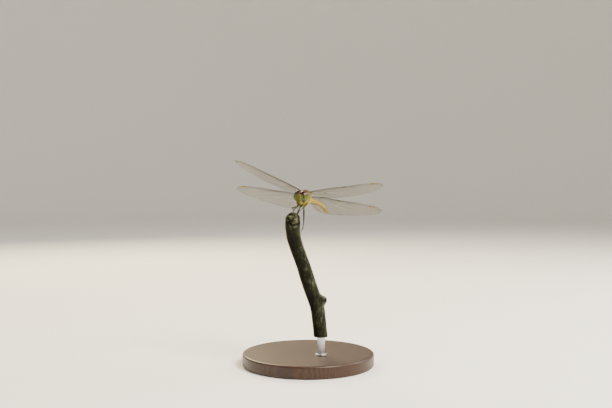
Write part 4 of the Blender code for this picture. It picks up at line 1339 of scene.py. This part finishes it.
# %% Leg pieces
leg_chitin = cuticle("chitin_black_leg", "#120E09", "#0A0805", "#060504", 0.34, 0.3,
                     stripe="#453914")
rng = np.random.default_rng(5)
for name in LEGS:
    add_piece(f"leg_{name}", leg_shape(name, rng), leg_chitin, "leg_cuticle", f"leg_{name}")

# %% [markdown]
# ## Fur
# The thorax has a coat of fine pale hairs, the collar a long fringe, and the face short dark
# stubble. Hairs root on the skins made above: places are drawn at random on a skin's grid, and the
# way out of the skin there is the cross of its two grid directions. Each hair also gets its place on
# an unwrap of that skin, so that its colour can be baked.

# %% Hair roots
def hair_roots(shape, rows, sides, count, rng, density):
    """Grid points drawn by density, their way out of the skin, and their place on its unwrap."""
    grid = shape["numbers"]["place"][:rows * sides].reshape(rows, sides, 3)
    closed = np.concatenate([grid[:, -1:], grid, grid[:, :1]], 1)
    out = np.cross(np.gradient(grid, axis=0), np.gradient(closed, axis=1)[:, 1:-1])
    centre = grid.mean(1, keepdims=True)
    out = out * np.sign((out * (grid - centre)).sum(-1, keepdims=True))
    chance = density(grid).ravel()
    pick = rng.choice(rows * sides, count, replace=False, p=chance / chance.sum())
    unwrap = np.stack([pick % sides / sides, pick // sides / rows], 1) * 0.96 + 0.02
    return grid.reshape(-1, 3)[pick], unit(out.reshape(-1, 3)[pick] + 1e-9), unwrap


def coat(roots, ways, unwrap, lengths, radius, lie, loose, rng):
    """Needles that lean along the lie of the coat, a little loose, and a bake place for each of
    their points: a patch 0.003 across about the root's place."""
    ways = unit(ways + lie + rng.normal(0, loose, roots.shape))
    shape = needles(roots - 0.03 * ways, ways, lengths, radius, np.broadcast_to(lie, roots.shape) * 0.25)
    spread = np.array(((0, 0), (1, 0), (0.5, 1), (0.2, 0.5), (0.8, 0.5), (0.5, 0.9), (0.5, 0.4)))
    bake = (unwrap[:, None] + (spread - 0.5) * 0.003).reshape(-1, 2)
    return shape, bake


# %% Thorax fur, collar fringe and face stubble
def hair_material(name, deep, pale):
    """Fine hair of chitin, whose shade changes from place to place."""
    material, tree, shader = new_material(name, {"Roughness": 0.45, "IOR": 1.55})
    shade = grains(tree, carried(tree, "place", "Vector"), 2.5, 2.0)
    coloured(tree, shader, mixed(tree, shade, deep, pale))
    return material


def off_eyes(points):
    """One where a point of the head lies clear of both eyes, and nought inside them."""
    clear = 1.0
    for side in (1, -1):
        x, y, z = np.moveaxis(points * (1, side, 1) - EYE_AT, -1, 0)
        upright = xyz(x, *swung(y, z, -EYE_TILT))
        clear = clear * (np.linalg.norm(upright / EYE_REACH, axis=-1) > 1.03)
    return clear


def grow(name, shape, rows, sides, count, lengths, radius, lie, loose, density, material, slot, *moves):
    """A coat on a shape: its roots drawn by density, its hairs along the lie."""
    roots, ways, unwrap = hair_roots(shape, rows, sides, count, rng, density)
    fur, bake = coat(roots, ways, unwrap, rng.uniform(*lengths, count), radius, np.array(lie), loose, rng)
    add_piece(name, moved(fur, *moves), material, slot, bake=bake)


pale_hair = hair_material("pale_chitin_hair", "#6E5A16", "#C4AE44")
grow("thorax_fur", thorax_shape(), 230, 260, 3400, (0.30, 0.80), 0.0070, (-0.45, 0, -0.75), 0.22,
     lambda p: (0.12 + step(p[..., 0], 0.2, 2.2)) * step(p[..., 0], -3.2, -2.6)
     * step(p[..., 0], 3.7, 3.2), pale_hair, "thorax_cuticle", on_body)
grow("collar_fringe", collar_shape(), 70, 120, 480, (0.5, 1.05), 0.0075, (0.15, 0, 0.25), 0.22,
     lambda p: step(np.abs(p[..., 0] - 3.38), 0.26, 0.12) * step(p[..., 2], -0.2, 0.3) + 1e-9,
     pale_hair, "thorax_cuticle", on_body)
grow("face_stubble", moved(head), 210, 220, 620, (0.10, 0.26), 0.008, (0.10, 0, -0.25), 0.25,
     lambda p: step(p[..., 0], 0.75, 1.0) * step(p[..., 2], 1.15, 0.95) * off_eyes(p) + 1e-12,
     hair_material("dark_chitin_bristle", "#1A130B", "#3A2C1A"), "face_cuticle", on_head, on_body)

# %% [markdown]
# ## Twig
# The perch is a dead twig, snapped off at the top and sawn at the foot. Its thin bark has dried to
# fine lengthwise wrinkles; the broken end has weathered to a black, lumpy knob; low on one side is
# the stub of a side shoot with its scar. One loft makes all of it. Each point moves out or in by a
# relief: wrinkles from noise stretched along the twig, cracks where another noise passes through
# zero, and round lumps on the knob. The relief is kept on the mesh, and the colour uses it as
# painted shade in the hollows and a painted highlight on the ridges.

# %% Bark relief
TWIG_FOOT, TEAR, GROOVE_HEIGHT = TWIG[0, 1], (53.2, 55.6), 24.1
STUB_HEIGHT, STUB_REACH, STUB_HALF, STUB_TURN = 26.45, 1.60, 1.755, math.radians(30.0)
SCAR_DROP, SCAR_HALF, SCAR_TURN = 0.20, 0.55, 0.20


def bark_relief(points, torn):
    """Height of the bark over the smooth twig: wrinkles, cracks and grain on the stem, and lumps of
    two sizes where it is torn."""
    long = points * (1, 1, 0.13)
    wrinkles = 0.040 * noise(long, 0.55, 31) + 0.022 * noise(points * (1, 1, 0.25), 0.22, 33)
    cracks = 0.075 * bell(noise(long, 0.80, 32), 0.07)
    swells = 0.07 * noise(points, 2.6, 36) + 0.02 * noise(points, 0.30, 37)
    lumps = 0.15 * np.tanh(3 * noise(points, 0.80, 34)) + 0.09 * noise(points, 0.36, 35)
    return (wrinkles - cracks + swells) * (1 - 0.8 * torn) + lumps * torn


def side_stub(height, turn):
    """The stub of a side shoot: its reach falls off as e to the minus third power of the distance
    from its middle. A share that is 1 in the hollow scar at its end falls off in the same way."""
    far = np.hypot((height - STUB_HEIGHT) / STUB_HALF, turn / STUB_TURN)
    scar = np.hypot((height - STUB_HEIGHT + SCAR_DROP) / SCAR_HALF, (turn + SCAR_TURN) / SCAR_TURN)
    return STUB_REACH * np.exp(-far ** 3), np.exp(-scar ** 3)


def twig_shape(rows=560, sides=156):
    """Rings up the twig's line, then over the dome, each ring pushed out by stub and relief along
    the way out of the smooth twig."""
    stem = smooth_curve(TWIG[::21], int(rows * 0.88))
    polar = np.linspace(0, 1.52, rows - len(stem) + 1)[1:]
    dome = np.stack([np.full(len(polar), KNOB_ACROSS), KNOB_RIM + KNOB_DOME * np.sin(polar),
                     KNOB_RADIUS * np.cos(polar)], 1)
    middle, height, radius = np.vstack([stem, dome]).T[:, :, None]
    turn = full_turn(sides)
    stub, scar = side_stub(height, (turn + math.pi) % (2 * math.pi) - math.pi)
    lift = np.concatenate([np.zeros(len(stem)), np.sin(polar)])[:, None]
    level = np.sqrt(1 - lift ** 2)
    way = xyz(np.cos(turn) * level, np.sin(turn) * level, lift)
    smooth = xyz(middle + (radius + stub) * np.cos(turn), (radius + stub) * np.sin(turn),
                 height + 0.35 * stub)
    ragged = height + 1.6 * noise(smooth, 1.5, 38)
    torn = step(ragged, *TEAR) * (1 - 0.25 * lift)
    relief = bark_relief(smooth, torn) * step(height, TWIG_FOOT, TWIG_FOOT + 0.4)
    relief = relief - 0.30 * scar - 0.05 * bell(height - GROOVE_HEIGHT - 0.3 * np.cos(turn), 0.16)
    rings = smooth + (relief - 0.36 * lift * level)[..., None] * way
    # The last number, minus the x of the way out of the twig, places the painted light and the painted
    # rim light on the bark by side.
    return moved(skin(rings, relief=relief, torn=np.maximum(torn, scar), sun=-way[..., 0]), on_twig)


# %% Bark material
def bark_material():
    """Weathered bark: olive grey, with painted shade in its cracks and a painted highlight on its ridges,
    painted paler on the side that the key light falls on, with golden streaks of painted rim light down
    the other side, and black where torn, with pale flecks, partly bits of bark and partly painted
    highlights."""
    material, tree, shader = new_material("weathered_bark", {"Roughness": 0.85, "IOR": 1.45,
                                                               "Specular IOR Level": 0.12})
    place = carried(tree, "place", "Vector")
    relief, torn, sun = (carried(tree, label) for label in ("relief", "torn", "sun"))
    long = stretched(tree, place, (1.0, 1.0, 0.16))
    streak = grains(tree, long, 2.0, 7.0, Roughness=0.68)
    mottle = grains(tree, place, 0.9, 5.0)
    # Painted shade where the relief is low and a painted highlight where it is high, over streaks and
    # mottling.
    level = formula(tree, "MULTIPLY_ADD", relief, 2.2,
                    formula(tree, "ADD", formula(tree, "MULTIPLY", streak, 0.95),
                            formula(tree, "MULTIPLY_ADD", mottle, 0.6, -0.285)))
    # Painted light by side: the bark is painted paler on the side the key light falls on, with a painted
    # pale rim along that edge.
    painted_pale_rim = ranged(tree, sun, -0.80, -1.0, 0.0, 0.26)
    level = formula(tree, "MULTIPLY_ADD", sun, -0.16, formula(tree, "ADD", level, painted_pale_rim), clamp=True)
    ramp = add_node(tree, "ValToRGB", {"stops": (
        (0.12, "#040403"), (0.38, "#0D0D07"), (0.58, "#1B1C10"), (0.76, "#33362A"),
        (0.98, "#63654E"))}, {"Fac": level})
    # Painted golden rim light in streaks down the side away from the key light, where the warm rim light
    # reaches.
    sunny = formula(tree, "MULTIPLY_ADD", streak, 1.2, formula(tree, "SUBTRACT", sun, 0.63))
    golden = mixed(tree, mottle, "#86701E", "#403614")
    colour = mixed(tree, ranged(tree, sunny, 0.86, 1.02, 0.0, 0.8), ramp.outputs["Color"], golden)
    # Pale flecks on the knob's raised lumps: bits of bark that also stand in for painted highlights.
    fleck = grains(tree, place, 3.4, 4.0, Roughness=0.62)
    high = formula(tree, "MULTIPLY_ADD", relief, 0.40, fleck)
    crumbs = mixed(tree, streak, "#54553C", "#BABC90")
    knob = mixed(tree, ranged(tree, high, 0.56, 0.66, 0.0, 0.9), "#030302", crumbs)
    coloured(tree, shader, mixed(tree, torn, colour, knob))
    embossed(tree, shader, streak, 0.5, 0.06)
    return material


add_piece("dead_twig", twig_shape(), bark_material(), "twig_bark", "perch_twig", crease=70)

# %% [markdown]
# ## Stand
# The stand is plain, so that it doesn't compete: a turned disc of stained hardwood under satin
# lacquer, and a short drawn steel rod let into the twig's foot. Both are lathe shapes, a profile of
# radii and heights turned about an upright line, with softened edges that catch the light.

# %% Lathe shapes
def turned(profile, centre=(0, 0), rows=90, sides=180):
    """A profile of radius and height, filled in with more points between its own, turned about an
    upright line."""
    known = np.asarray(profile, float)
    far = distances(known)
    at = np.unique(np.concatenate([np.linspace(0, far[-1], rows), far]))
    radius, height = (np.interp(at, far, known[:, k])[:, None] for k in (0, 1))
    turn = full_turn(sides)
    return moved(skin(xyz(centre[0] + radius * np.cos(turn), centre[1] + radius * np.sin(turn),
                          height)))


def rounded(corners, radius, count=7):
    """A profile whose corners, but for its two ends, are each replaced by a quadratic curve that
    starts and ends that far from the corner."""
    known = np.asarray(corners, float)
    line = [known[:1]]
    share = np.linspace(0, 1, count)[:, None]
    for before, corner, after in zip(known[:-2], known[1:-1], known[2:]):
        one, two = corner + radius * unit(before - corner), corner + radius * unit(after - corner)
        line.append(one * (1 - share) ** 2 + 2 * corner * share * (1 - share) + two * share ** 2)
    return np.vstack(line + [known[-1:]])


# %% Wood and steel
GRAIN_TURN = (0, 0, 0.35)   # radians between the grain and the length of the model


def lacquered_wood():
    """Stained hardwood: growth rings cut along, about 0.7 mm apart and wavy, pores as fine dark
    dashes, and a clear coat over all of it."""
    material, tree, shader = new_material("stained_hardwood_satin_lacquer", {
        "Roughness": 0.5, "IOR": 1.5, "Specular IOR Level": 0.25, "Coat Weight": 0.3,
        "Coat Roughness": 0.25})
    place = carried(tree, "place", "Vector")
    along = stretched(tree, place, (0.06, 0.5, 0.5), Rotation=GRAIN_TURN)
    grain = add_node(tree, "TexWave", {"Scale": 0.9, "Distortion": 5.0, "Detail": 3.0,
                                       "bands_direction": "Y"}, {"Vector": along})
    pores = grains(tree, stretched(tree, place, (0.25, 4.0, 4.0), Rotation=GRAIN_TURN), 1.2, 3.0)
    dash = ranged(tree, pores, 0.56, 0.66, 0.0, 0.7)
    colour = mixed(tree, grain.outputs["Fac"], "#25130A", "#38200F")
    coloured(tree, shader, mixed(tree, dash, colour, "#0E0703"))
    embossed(tree, shader, dash, 0.2, 0.05, invert=True)
    return material


def drawn_steel():
    """Steel pulled through a die: fine lines along its length that spread the shine sideways."""
    material, tree, shader = new_material("drawn_steel", {"Metallic": 1.0, "Roughness": 0.28})
    along = stretched(tree, carried(tree, "place", "Vector"), (9.0, 9.0, 0.15))
    lines = grains(tree, along, 1.0, 3.0)
    coloured(tree, shader, mixed(tree, lines, "#A9ABAE", "#C9CBCD"))
    tree.links.new(ranged(tree, lines, 0.0, 1.0, 0.2, 0.4), shader.inputs["Roughness"])
    embossed(tree, shader, lines, 0.15, 0.02)
    return material


# %% Stand pieces
DISC_RADIUS, DISC_TOP = 26.0, 5.0
ROD_RADIUS, ROD_SUNK, ROD_TOP, COLLAR_RADIUS, COLLAR_RISE = 1.5, 0.4, 12.6, 2.3, 0.7


def ring_profile(inner, outer, bottom, top, softened):
    """The half section of a disc or a ring, with its two outer corners softened."""
    return rounded(((inner, bottom), (outer, bottom), (outer, top), (inner, top)), softened)


disc = turned(ring_profile(0.5, DISC_RADIUS, 0.0, DISC_TOP, 0.9))
add_piece("base_disc", disc, lacquered_wood(), "stand_lacquer", "stand_base", crease=50)
foot = on_twig((5.0, 0, 0))[:2]
rod = turned(ring_profile(0.05, ROD_RADIUS, DISC_TOP - ROD_SUNK, ROD_TOP, 0.25), foot, 60, 64)
collar = turned(ring_profile(ROD_RADIUS - 0.05, COLLAR_RADIUS, DISC_TOP, DISC_TOP + COLLAR_RISE, 0.22),
                foot, 40, 64)
add_piece("steel_rod", join([rod, collar]), drawn_steel(), "stand_steel", "stand_rod", crease=50)

# %% [markdown]
# ## Floor, light and camera
# The model stands in a wide pale bowl, a floor that curves up into a wall all round, so that its
# ground is pale from every side. A key light, a weak fill, two rim lights from behind and a pale sky
# give soft light with clear highlights on the cuticle. The camera stands a third of a metre away,
# level with the animal, a little to its left.

# %% Studio bowl
def studio_bowl(floor=1.1, radius=0.6, height=2.0, sides=96):
    """A floor, a quarter circle and a wall as one profile of distance and height, turned about the
    upright axis, so that the ground is pale from every side. The floor's middle is one point."""
    bend = np.linspace(0, math.pi / 2, 20)
    reach = np.concatenate([np.linspace(0.1, floor, 10), floor + radius * np.sin(bend[1:]),
                            np.full(5, floor + radius)])
    level = np.concatenate([np.zeros(10), radius * (1 - np.cos(bend[1:])),
                            np.linspace(radius + 0.1, height, 5)])
    turn = full_turn(sides)
    points = xyz(reach[:, None] * np.cos(turn), reach[:, None] * np.sin(turn),
                 level[:, None]).reshape(-1, 3)
    row, side = np.meshgrid(np.arange(len(reach) - 1), np.arange(sides), indexing="ij")
    low, after = row * sides, (side + 1) % sides
    quads = np.stack([low + side, low + sides + side, low + sides + after, low + after], -1)
    side = np.arange(sides)
    middle = np.stack([np.full(sides, len(points)), side, (side + 1) % sides], -1)
    faces = quads.reshape(-1, 4).tolist() + middle.tolist()
    mesh = bpy.data.meshes.new("studio_bowl")
    mesh.from_pydata(points.tolist() + [[0, 0, 0]], [], faces)
    mesh.shade_smooth()
    return mesh


paper, tree, shader = new_material("matt_studio_paper", {"Roughness": 0.9, "IOR": 1.45})
fibre = grains(tree, add_node(tree, "TexCoord").outputs["Object"], 900.0, 2.0)
coloured(tree, shader, mixed(tree, fibre, "#E9E7E0", "#EFEDE7"))
bowl = bpy.data.objects.new("studio_bowl", studio_bowl())
bowl.data.materials.append(paper)
bpy.context.scene.collection.objects.link(bowl)

# %% Lights
MODEL_MIDDLE = Vector((0.0, 0.0, 0.05))


def soft_light(name, at, size, watts, colour):
    """A square area light at a point, turned to look at the model."""
    data = bpy.data.lights.new(name, "AREA")
    data.size, data.energy, data.color = size, watts, linear(colour)[:3]
    lamp = bpy.data.objects.new(name, data)
    lamp.location = at
    lamp.rotation_euler = (MODEL_MIDDLE - Vector(at)).to_track_quat("-Z", "Y").to_euler()
    bpy.context.scene.collection.objects.link(lamp)


for light in (("key_light", (0.42, -0.22, 0.54), 0.30, 13.0, "#FFF6E8"),
              ("fill_light", (-0.55, -0.45, 0.30), 0.60, 1.5, "#F2F6FF"),
              ("warm_rim_light", (-0.32, 0.36, 0.36), 0.30, 5.0, "#FFE9B8"),
              ("pale_rim_light", (0.40, 0.30, 0.34), 0.30, 3.5, "#FBF8F0")):
    soft_light(*light)
world = bpy.data.worlds.new("pale_studio")
bpy.context.scene.world = world
world.use_nodes = True
sky = world.node_tree.nodes["Background"]
sky.inputs["Color"].default_value = linear("#F4F5F7")
sky.inputs["Strength"].default_value = 0.45

# %% Camera
lens = bpy.data.cameras.new("studio_camera")
lens.lens, lens.sensor_width = 50.0, 36.0
lens.clip_start, lens.clip_end = 0.01, 20.0
camera = bpy.data.objects.new("studio_camera", lens)
camera.location = (0.0913, -0.3216, 0.0753)
camera.rotation_euler = (math.radians(88), 0.0, math.radians(16))
bpy.context.scene.collection.objects.link(camera)
bpy.context.scene.camera = camera
print("camera stands", round(camera.location.length, 3), "m from the middle of the base")
